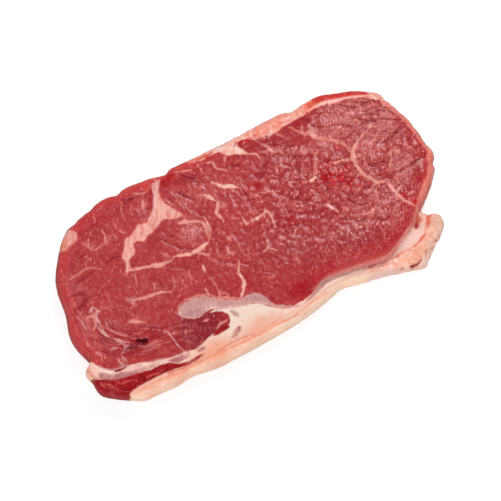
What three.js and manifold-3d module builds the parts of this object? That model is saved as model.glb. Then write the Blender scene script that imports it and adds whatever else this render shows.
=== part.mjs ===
// Raw boneless sirloin steak: one slab of lean with its fat cap grown on along the near side.
// Millimetres, +Z up, long side along X, fat cap on the -Y side, resting flat on z = 0.
import * as THREE from 'three';
import { mergeVertices } from 'three/addons/utils/BufferGeometryUtils.js';
import Module from 'manifold-3d';

// ---- driving dimensions (mm) -------------------------------------------------------------
const THICKNESS = 22;         // lean, between the two cut faces
const EDGE_THICKNESS = 19.5;  // lean, along its rounded rim
const CAP_THICKNESS = 19.5;   // fat cap over the left two thirds
const FLAP_THICKNESS = 7.5;   // fat flap that runs out under the right end, at its outer roll
const WAIST = 0.45;           // height of the widest line of a side wall, as a share of its top
const SHOULDER = 5.5;         // how far the top of a wall rolls in
const TUCK = 3.5;             // how far the foot of a wall rolls in
const LEAN_SPOKES = 164;
const CAP_SPOKES = 124;

// Widest line of the lean, clockwise from its left end. The near stretch lies in the fat.
const LEAN_RIM = [
  [-98.5, -24], [-102.2, -11], [-99.5, 3], [-98.8, 14], [-97, 21], [-92.8, 28.5], [-86.2, 38],
  [-79, 43.4], [-65, 47.6], [-50, 49.6], [-36, 48.9], [-22, 49.3], [-8, 49.5], [11, 50.3],
  [30, 51.4], [43, 51.9], [50, 51.4], [62, 52.8], [73, 49.8], [81, 47.4], [86, 44], [92, 40],
  [94.5, 32], [97.5, 24], [99.9, 14], [101, 5], [102.5, -2], [99, -8], [94, -14], [86, -21.5], [75, -30],
  [66, -35.5], [55, -38.8], [41, -37.2], [28, -37], [14, -41], [0, -39], [-14, -33], [-27, -36],
  [-40, -41], [-55, -42], [-72, -39], [-88, -36], [-95, -31],
];

// Widest line of the fat cap, clockwise from its left knob. The far stretch lies in the lean.
const CAP_RIM = [
  [-102.5, -29.5], [-98, -25], [-88, -22], [-60, -24], [-20, -22], [20, -26], [60, -24],
  [80, -22], [84, -25], [88, -27.3], [91, -29], [91.4, -34], [86.5, -39.5],
  [78.5, -45.2], [74, -49.9], [64, -48], [51, -45.2], [38, -43.4], [31, -41.9], [24, -44],
  [10, -47.8], [-6, -50.2], [-25, -51.6], [-43, -52.5], [-54, -51.2], [-66, -52.2], [-75, -51.9],
  [-80, -52.6], [-88, -48.8], [-95, -44.6], [-100, -40.5], [-101, -34],
];

// Nicks between the lobes of the far rim and the right rim: place along the rim, depth, width.
const NICKS = [
  { at: [-77, 43.5], deep: 1.5, wide: 3 },
  { at: [-69.5, 45.5], deep: 1.6, wide: 3 },
  { at: [-52.8, 48.3], deep: 2.6, wide: 3 },
  { at: [-27.6, 49.6], deep: 2.8, wide: 2.6 },
  { at: [47.4, 51.9], deep: 1.5, wide: 2.2 },
  { at: [92.8, 36.4], deep: 1.2, wide: 2.2 },
  { at: [101, -4.4], deep: 2.2, wide: 2.2 },
];

// Valleys of the cut face, where one bundle of muscle meets the next.
const VALLEYS = [
  { deep: 1.6, wide: 5, path: [[-72, -31], [-64, -27], [-57, -26]] },                   // swirl
  { deep: 1.1, wide: 6, path: [[-48, -21], [-34, -22], [-18, -29], [-6, -35]] },        // silverskin
  { deep: 0.9, wide: 5, path: [[-38, 40], [-44, 22], [-58, 8], [-64, -6]] },            // wedge seam
  { deep: 0.8, wide: 5, path: [[-64, -6], [-45, -6], [-30, -2], [-20, 2]] },            // its branch
  { deep: 1.3, wide: 6, path: [[69, 7], [80, 4], [92, -2]] },                           // right fold
  { deep: 0.9, wide: 6, path: [[60, 26], [56, 12], [66, 2], [80, -14]] },               // right seam
  { deep: 0.9, wide: 5, path: [[28, 40], [46, 26], [60, 26]] },                         // top seam
  { deep: 1.0, wide: 5, path: [[62, 40], [76, 34], [88, 30]] },                         // corner fold
  { deep: 0.7, wide: 4, path: [[18, 42], [31, 41.5], [52, 44.5], [70, 43.5]] },         // far fat
];
const FLAP_PIT = { deep: 2.2, wide: 5, path: [[81, -25], [77, -31.5]] };  // where flap leaves lean

// ---- helpers -----------------------------------------------------------------------------
const clamp01 = (t) => Math.min(1, Math.max(0, t));
const smooth = (t) => { const u = clamp01(t); return u * u * (3 - 2 * u); };
const mix = (a, b, t) => a + (b - a) * t;

// Repeatable noise in -1..1, smooth between the points of a grid.
const grain = (i, j) => {
  const s = Math.sin(i * 127.1 + j * 311.7) * 43758.5453;
  return 2 * (s - Math.floor(s)) - 1;
};
function lumps(x, y, cell) {
  const i = Math.floor(x / cell), j = Math.floor(y / cell);
  const u = smooth(x / cell - i), v = smooth(y / cell - j);
  return mix(mix(grain(i, j), grain(i + 1, j), u), mix(grain(i, j + 1), grain(i + 1, j + 1), u), v);
}

function distanceToPath(x, y, path) {
  let best = Infinity;
  for (let k = 0; k + 1 < path.length; k++) {
    const [ax, ay] = path[k], [bx, by] = path[k + 1];
    const t = clamp01(((x - ax) * (bx - ax) + (y - ay) * (by - ay)) / ((bx - ax) ** 2 + (by - ay) ** 2));
    best = Math.min(best, Math.hypot(x - mix(ax, bx, t), y - mix(ay, by, t)));
  }
  return best;
}

// A closed rim drawn smoothly through its named points, with nicks pressed in towards y = 0.
function rimLine(points, nicks) {
  const curve = new THREE.CatmullRomCurve3(
    points.map(([x, y]) => new THREE.Vector3(x, y, 0)), true, 'centripetal');
  return curve.getSpacedPoints(600).slice(0, -1).map((p) => {
    let press = 0;
    for (const nick of nicks) {
      const off = Math.hypot(p.x - nick.at[0], p.y - nick.at[1]) / nick.wide;
      press = Math.max(press, nick.deep * Math.exp(-off * off));
    }
    const inward = new THREE.Vector2(-p.x * 0.35, -p.y).normalize();
    return [p.x + inward.x * press, p.y + inward.y * press];
  });
}

// Where a ray from a point of the spine leaves the rim.
function rimCrossing(rim, sx, sy, dx, dy) {
  let far = 0;
  for (let k = 0; k < rim.length; k++) {
    const [ax, ay] = rim[k], [bx, by] = rim[(k + 1) % rim.length];
    const ex = bx - ax, ey = by - ay;
    const det = ex * dy - ey * dx;
    if (Math.abs(det) < 1e-12) continue;
    const reach = (ex * (ay - sy) - ey * (ax - sx)) / det;
    const along = (dx * (ay - sy) - dy * (ax - sx)) / det;
    if (along >= 0 && along < 1 && reach > far) far = reach;
  }
  return far;
}

// A flat-bottomed pillow on spokes that run from a straight spine out to a rim.
// topAt(x, y, inset) is the height of its upper face, where inset is how far in from the rim
// that place is (endless on the spine, where spokes meet); shoulder and tuck round its side wall.
function pillow({ rim, spine, spokes, shoulder, tuck, topAt, faceRings }) {
  const midX = (spine[0] + spine[1]) / 2, halfX = (spine[1] - spine[0]) / 2, spineY = spine[2];
  const ARC = 5;
  const profile = [];                        // [inset from the rim, share of the top height]
  for (let k = 0; k <= 3; k++) {             // foot
    const a = (k / 3) * Math.PI / 2;
    profile.push([tuck * (1 - Math.sin(a)), WAIST * (1 - Math.cos(a))]);
  }
  for (let k = 1; k <= ARC; k++) {           // side and shoulder
    const a = (k / ARC) * Math.PI / 2;
    profile.push([shoulder * (1 - Math.cos(a)), WAIST + (1 - WAIST) * Math.sin(a)]);
  }
  const rings = [];
  const spoke = (i) => {
    const angle = (i / spokes) * 2 * Math.PI;
    const sx = midX + halfX * Math.cos(angle), dx = Math.cos(angle), dy = Math.sin(angle);
    return { sx, dx, dy, reach: rimCrossing(rim, sx, spineY, dx, dy) };
  };
  const all = Array.from({ length: spokes }, (_, i) => spoke(i));
  const ring = (along, rise) => rings.push(all.map((s) => {
    const r = along(s.reach), x = s.sx + s.dx * r, y = spineY + s.dy * r;
    return [x, y, rise * topAt(x, y, r > 0 ? s.reach - r : Infinity)];
  }));
  for (const share of [0, 0.4, 0.75]) ring((reach) => (reach - tuck) * share, 0);  // underside
  for (const [inset, rise] of profile) ring((reach) => reach - inset, rise);       // wall
  for (let k = faceRings - 1; k >= 0; k--) {                                       // upper face
    ring((reach) => (reach - shoulder) * (k / faceRings), 1);
  }
  const position = rings.flat(2), index = [];
  const wrap = (i) => i % spokes;
  for (let r = 0; r + 1 < rings.length; r++) {
    for (let i = 0; i < spokes; i++) {
      const a = r * spokes + i, b = r * spokes + wrap(i + 1), c = a + spokes, d = b + spokes;
      index.push(a, b, d, a, d, c);
    }
  }
  const geometry = new THREE.BufferGeometry();
  geometry.setAttribute('position', new THREE.Float32BufferAttribute(position, 3));
  geometry.setIndex(index);
  return geometry;
}

// ---- the two grown-together pieces -----------------------------------------------------------
const dip = (x, y, { deep, wide, path }) => {
  const off = distanceToPath(x, y, path) / wide;
  return deep * Math.exp(-2.2 * off * off);
};

function leanTop(x, y, inset) {
  let z = mix(EDGE_THICKNESS, THICKNESS, smooth((inset - 3) / 14));
  z += 0.35 * lumps(x + 7, y, 17) + (x > 15 ? 0.3 : 0.1) * lumps(x, y + 3, 8);
  for (const valley of VALLEYS) z -= dip(x, y, valley);
  return z;
}

// The cap is as tall as the lean; the flap falls to a groove and rises to a roll at its edge.
function capTop(x, y, inset) {
  const flap = smooth((x - 2) / 34);                       // 0 on the cap, 1 on the low flap
  const outward = clamp01((-30 - y) / 18);                 // 0 at the lean, 1 at the skin side
  const cap = CAP_THICKNESS - 1.2 * outward;
  const roll = Math.exp(-(((inset - 4) / 3.5) ** 2));
  const low = mix(FLAP_THICKNESS + 3, FLAP_THICKNESS - 2, outward) + 2 * roll - dip(x, y, FLAP_PIT);
  return mix(cap, low, flap) + 0.45 * lumps(x, y, 9);
}

const lean = () => pillow({
  rim: rimLine(LEAN_RIM, NICKS), spine: [-52, 52, 4], spokes: LEAN_SPOKES,
  shoulder: SHOULDER, tuck: TUCK, topAt: leanTop, faceRings: 15,
});
const fatCap = () => pillow({
  rim: rimLine(CAP_RIM, []), spine: [-88, 80, -36.5], spokes: CAP_SPOKES,
  shoulder: 3, tuck: 2, topAt: capTop, faceRings: 5,
});

// ---- join --------------------------------------------------------------------------------
async function join(geometries) {
  const wasm = await Module();
  wasm.setup();
  const solids = geometries.map((geometry) => {
    const welded = mergeVertices(geometry, 1e-4);
    return new wasm.Manifold(new wasm.Mesh({
      numProp: 3,
      vertProperties: new Float32Array(welded.getAttribute('position').array),
      triVerts: new Uint32Array(dropFlat(welded)),
    }));
  });
  const mesh = solids.reduce((whole, next) => whole.add(next)).simplify(0.02).getMesh();
  const geometry = new THREE.BufferGeometry();
  geometry.setAttribute('position', new THREE.Float32BufferAttribute(mesh.vertProperties, 3));
  geometry.setIndex([...mesh.triVerts]);
  return geometry;
}

// Triangles that shrank to a line or a point where the spokes meet on the spine are left out.
function dropFlat(geometry) {
  const index = [...geometry.index.array], kept = [];
  for (let t = 0; t < index.length; t += 3) {
    const [a, b, c] = index.slice(t, t + 3);
    if (a !== b && b !== c && c !== a) kept.push(a, b, c);
  }
  return kept;
}

async function steak() {
  const geometry = await join([lean(), fatCap()]);
  geometry.computeBoundingBox();
  const middle = geometry.boundingBox.getCenter(new THREE.Vector3());
  geometry.translate(-middle.x, -middle.y, 0);
  geometry.computeVertexNormals();
  const flesh = new THREE.MeshStandardMaterial({ color: 0x8e2f2a, roughness: 0.35, metalness: 0 });
  const mesh = new THREE.Mesh(geometry, flesh);
  mesh.name = 'steak';
  return mesh;
}

const part = new THREE.Group();
part.name = 'raw_sirloin_steak';
part.add(await steak());
export default part;
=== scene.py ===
import math

import bmesh
import bpy
import numpy as np
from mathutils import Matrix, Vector, kdtree


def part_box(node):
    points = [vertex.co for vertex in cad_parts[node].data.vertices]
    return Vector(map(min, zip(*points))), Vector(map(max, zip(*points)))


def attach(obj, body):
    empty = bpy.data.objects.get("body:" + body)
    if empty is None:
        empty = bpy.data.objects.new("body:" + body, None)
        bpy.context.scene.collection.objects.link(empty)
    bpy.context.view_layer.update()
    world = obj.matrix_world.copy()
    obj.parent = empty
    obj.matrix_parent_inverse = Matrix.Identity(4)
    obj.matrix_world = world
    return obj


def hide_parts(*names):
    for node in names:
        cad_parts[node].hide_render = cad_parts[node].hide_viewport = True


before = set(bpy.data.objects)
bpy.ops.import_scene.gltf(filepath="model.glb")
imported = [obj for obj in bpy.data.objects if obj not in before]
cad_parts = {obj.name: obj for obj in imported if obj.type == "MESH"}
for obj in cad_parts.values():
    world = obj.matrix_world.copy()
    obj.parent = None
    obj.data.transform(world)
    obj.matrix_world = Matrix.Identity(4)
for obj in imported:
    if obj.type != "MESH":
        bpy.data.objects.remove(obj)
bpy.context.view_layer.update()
scene = bpy.context.scene

# ---- Steak -----------------------------------------------------------------------------------
# One slab of raw sirloin: lean beef with its fat cap grown on along the near side. The butcher's
# knife made the flat upper and lower faces; the side walls are the muscle's own skins. The seams,
# the silverskin and the fat run down through the slab from one cut face to the other.

MM = 0.001
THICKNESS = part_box("steak")[1][2] / MM
MESH_STEP = 0.8               # mm between neighbouring points of the finished surface
FIBRE_WAY = (0.43, 0.90)      # the way that the cut fibres lean on the face
FAR_OFF = 30.0                # mm, where a line is too far off to matter
LINE_REACH = 12.0             # mm beside a line within which the way to it is worked out
LINE_STEP = 1.0               # mm between the points that fill a line


def smooth_line(points, closed=False):
    """A line of a few points in mm, rounded off and filled with points between them."""
    p = np.array(points, float)
    if closed:
        p = np.vstack([p[-1:], p, p[:2]])
    else:
        p = np.vstack([2 * p[:1] - p[1:2], p, 2 * p[-1:] - p[-2:-1]])
    out = []
    for a, b, c, d in zip(p, p[1:], p[2:], p[3:]):
        count = max(2, int(np.linalg.norm(c - b) / LINE_STEP) + 1)
        t = np.linspace(0, 1, count, endpoint=False)[:, None]
        out.append(0.5 * (2 * b + (c - a) * t + (2 * a - 5 * b + 4 * c - d) * t ** 2
                          + (3 * b - a - 3 * c + d) * t ** 3))
    return np.vstack(out if closed else out + [p[-2:-1]])


def box_filter(at, line, margin):
    """Which points lie within a margin of a line's own box."""
    low, high = line.min(0) - margin, line.max(0) + margin
    return np.nonzero(((at > low) & (at < high)).all(1))[0]


def way_to_line(at, line, closed=False):
    """For each point: how far the line is, the vector to it, and how far along the line that is."""
    ends = np.vstack([line[1:], line[:1]]) if closed else line[1:]
    starts = line if closed else line[:-1]
    best = np.full(len(at), FAR_OFF)
    way = np.full((len(at), 2), FAR_OFF)
    share = np.zeros(len(at))
    near = box_filter(at, line, LINE_REACH)
    sub = at[near]
    sub_best, sub_way, sub_share = best[near], way[near], share[near]
    for k, (a, b) in enumerate(zip(starts, ends)):
        ab = b - a
        t = np.clip(((sub - a) @ ab) / max(ab @ ab, 1e-9), 0, 1)
        v = a + t[:, None] * ab - sub
        d = np.hypot(v[:, 0], v[:, 1])
        nearer = d < sub_best
        sub_best[nearer], sub_way[nearer] = d[nearer], v[nearer]
        sub_share[nearer] = (k + t[nearer]) / len(starts)
    best[near], way[near], share[near] = sub_best, sub_way, sub_share
    return best, way, share


def inside(at, outline):
    """True for points within a closed outline."""
    odd = np.zeros(len(at), bool)
    near = box_filter(at, outline, 0.0)
    x, y = at[near, 0], at[near, 1]
    hit = np.zeros(len(near), bool)
    for a, b in zip(outline, np.roll(outline, -1, axis=0)):
        crosses = (a[1] > y) != (b[1] > y)
        with np.errstate(divide="ignore", invalid="ignore"):
            cut = a[0] + (y - a[1]) * (b[0] - a[0]) / (b[1] - a[1])
        hit ^= crosses & (x < cut)
    odd[near] = hit
    return odd


def depth_in(at, points):
    """Signed distance in mm into an area drawn by a few points: above 0 inside it."""
    outline = smooth_line(points, closed=True)
    far, _, _ = way_to_line(at, outline, closed=True)
    return np.where(inside(at, outline), far, -far)


def patches(at, spots):
    """A soft field that is strong at each spot: (x, y, radius in mm, strength)."""
    total = np.zeros(len(at))
    for x, y, radius, strength in spots:
        total += strength * np.exp(-((at[:, 0] - x) ** 2 + (at[:, 1] - y) ** 2) / radius ** 2)
    return total


# Fat of the cap, outside the lean's edge, all the way round the near side.
CAP = [(-106, -24), (-98.5, -26.8), (-97, -29), (-95.5, -31.3), (-93, -33.4), (-91, -34.9), (-89, -36.4),
       (-86, -36.5), (-84, -36.1), (-82, -35.9), (-77.5, -36.7), (-72.5, -38.1), (-68, -39.5),
       (-63.5, -40.6), (-57.5, -41.2), (-51, -42.2), (-47.5, -41.8), (-43.5, -40.4), (-38.5, -39),
       (-33, -39.4), (-29.2, -37.6), (-27.8, -35.5), (-28, -32.8), (-31, -30.4), (-36, -29), (-32, -28.8),
       (-27.5, -30.2), (-21.5, -32), (-17.5, -33), (-13.5, -34), (-9.5, -37), (-5.5, -40), (0, -42.8),
       (7, -42.4), (12.5, -41.2), (18, -38.6), (23, -37.2), (32, -37), (41, -37.8), (49.5, -39),
       (57, -39.2), (61.5, -38), (66.5, -35), (71.5, -32.4), (75.5, -30), (78.5, -27), (82, -24.6),
       (86, -21.8), (98, -20), (98, -60), (0, -60), (-106, -60)]
# Grey-mauve silverskin that lies between the lean and the cap.
SILVER = [(-49.6, -22.5), (-48.4, -20.6), (-47, -19.8), (-43, -19.2), (-38, -19.6), (-33.5, -21.2),
          (-29, -24.7), (-24, -27.6), (-19, -29), (-15.5, -28.6), (-11.5, -29.2), (-8.6, -31.7), (-7, -35),
          (-5.2, -38), (-1.5, -40.6), (3.5, -42.8), (8, -44), (4, -44), (-0.5, -42.6), (-5.5, -40),
          (-9, -37), (-13, -34), (-17.5, -33), (-22, -32), (-28.5, -30.2), (-34.5, -28.2), (-38, -28.4),
          (-41, -29.2), (-44, -28.6), (-46.8, -27), (-49.4, -24.8)]
# Silverskin that shows again on the lean's near wall.
SILVER_STRIP = [(8, -43.6), (12, -41.6), (18, -38.6), (23, -36.6), (32, -36.8), (41, -37.6), (50, -39),
                (50, -39.6), (41, -38.4), (32, -38), (24, -38.6), (17, -41), (12, -43)]
# Band of fat and skin over the side muscle at the left corner.
STRIP = [(-98.5, -27), (-97, -29), (-95.5, -31.5), (-93, -33.5), (-91, -35), (-89, -36.5), (-86, -36.6),
         (-84, -36.2), (-82, -36), (-77.5, -36.8), (-72.5, -38.2), (-68, -39.6), (-63.5, -40.7),
         (-58.5, -40.6), (-54, -41), (-50, -42), (-47, -43), (-49, -44.4), (-51, -44.6), (-53.5, -45.3),
         (-56.5, -46), (-60, -45.3), (-62.3, -43.2), (-66, -41.9), (-71, -41.5), (-76, -41.7),
         (-80.5, -41.5), (-84, -41.2), (-86.5, -41), (-90.5, -40.2), (-94, -38.6), (-97.3, -36.8),
         (-99, -34), (-99, -31)]
# Dark muscle of its own, in the fat at the left corner.
SIDE = [(-104, -33), (-101, -33.8), (-99.5, -35.4), (-97.3, -36.4), (-94, -38.1), (-90.5, -39.4),
        (-86.5, -40.1), (-83, -40.4), (-78, -41.1), (-72.5, -41.9), (-68, -41.8), (-63, -42.8),
        (-59.5, -45), (-55, -46), (-50.5, -45.5), (-46.5, -45.6), (-51, -46.8), (-56.5, -47.3),
        (-63, -46.6), (-70, -46.2), (-77, -46.6), (-83.5, -47.1), (-88, -47.8), (-92, -49.5), (-95, -52),
        (-104, -47), (-105, -38)]
# Islands of muscle in the fat, at the tip of the lean's tongue.
ISLAND = [(-29.5, -38.5), (-32.5, -37.7), (-36, -38.4), (-39.5, -39.4), (-37, -40.2), (-33, -40),
          (-30.5, -39.6)]
# Wedge of seam fat in the left half.
WEDGE = [(-32, 43.5), (-35, 39), (-36.5, 34.5), (-38.5, 31), (-42, 27.7), (-44, 25.4), (-46.5, 25.7),
         (-49, 26), (-50.5, 24.5), (-54, 22.6), (-58, 21.5), (-59.5, 18.5), (-62, 15.5), (-63, 13.5),
         (-62.2, 11), (-63, 8), (-64.5, 5), (-61.5, 8), (-60, 11.5), (-57, 13), (-55.5, 15), (-55, 18),
         (-53, 18.5), (-49.5, 17.2), (-47, 19), (-43.5, 19.7), (-41.5, 21), (-38.5, 22.4), (-36, 23),
         (-32, 21.2), (-27, 20.4), (-26.6, 21), (-29.5, 25.5), (-32.2, 29.5), (-33, 33.5), (-32.6, 38),
         (-30.5, 43.5)]
# Knob of fat on the left rim.
RIM_KNOB = [(-82, 40), (-80, 38.5), (-78.6, 37), (-78.2, 35), (-78.8, 32.8), (-81, 31.2), (-83.5, 31),
            (-85.5, 29.7), (-87.5, 30), (-89.5, 32), (-89, 35.5), (-86.5, 38.5)]
# Fat along the far rim and on the far corner, with a strip of muscle outside it.
FAR_BAND = [(-16, 47), (-14.5, 46), (-12, 44.8), (-9.5, 44.3), (-7.5, 43.8), (-4, 44.8), (-1.5, 44.3),
            (1.5, 44.6), (4.5, 42.6), (5.5, 41), (9, 39.9), (13, 37.8), (16.5, 36), (16, 37.6), (14.5, 41),
            (14, 43.5), (15.5, 45), (18.5, 45.4), (20.6, 44), (22.5, 43), (25, 42), (28.5, 42), (32, 41),
            (36, 42), (38.5, 43), (43.5, 43.4), (49.5, 43.4), (55.5, 44.4), (60.5, 45), (64.5, 44.2),
            (68.5, 43), (73.5, 42.6), (77, 41.8), (80.5, 40.6), (84, 39), (85, 37), (88, 35), (89.5, 34),
            (95, 38), (84, 52), (66, 60), (-16, 60)]
FAR_STRIP = [(58, 47), (61, 46.6), (65, 46), (69.5, 45), (75.5, 43.8), (81, 42), (84.5, 40.8), (86, 42),
             (84, 50), (66, 60), (57.5, 60), (57, 50)]

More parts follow.
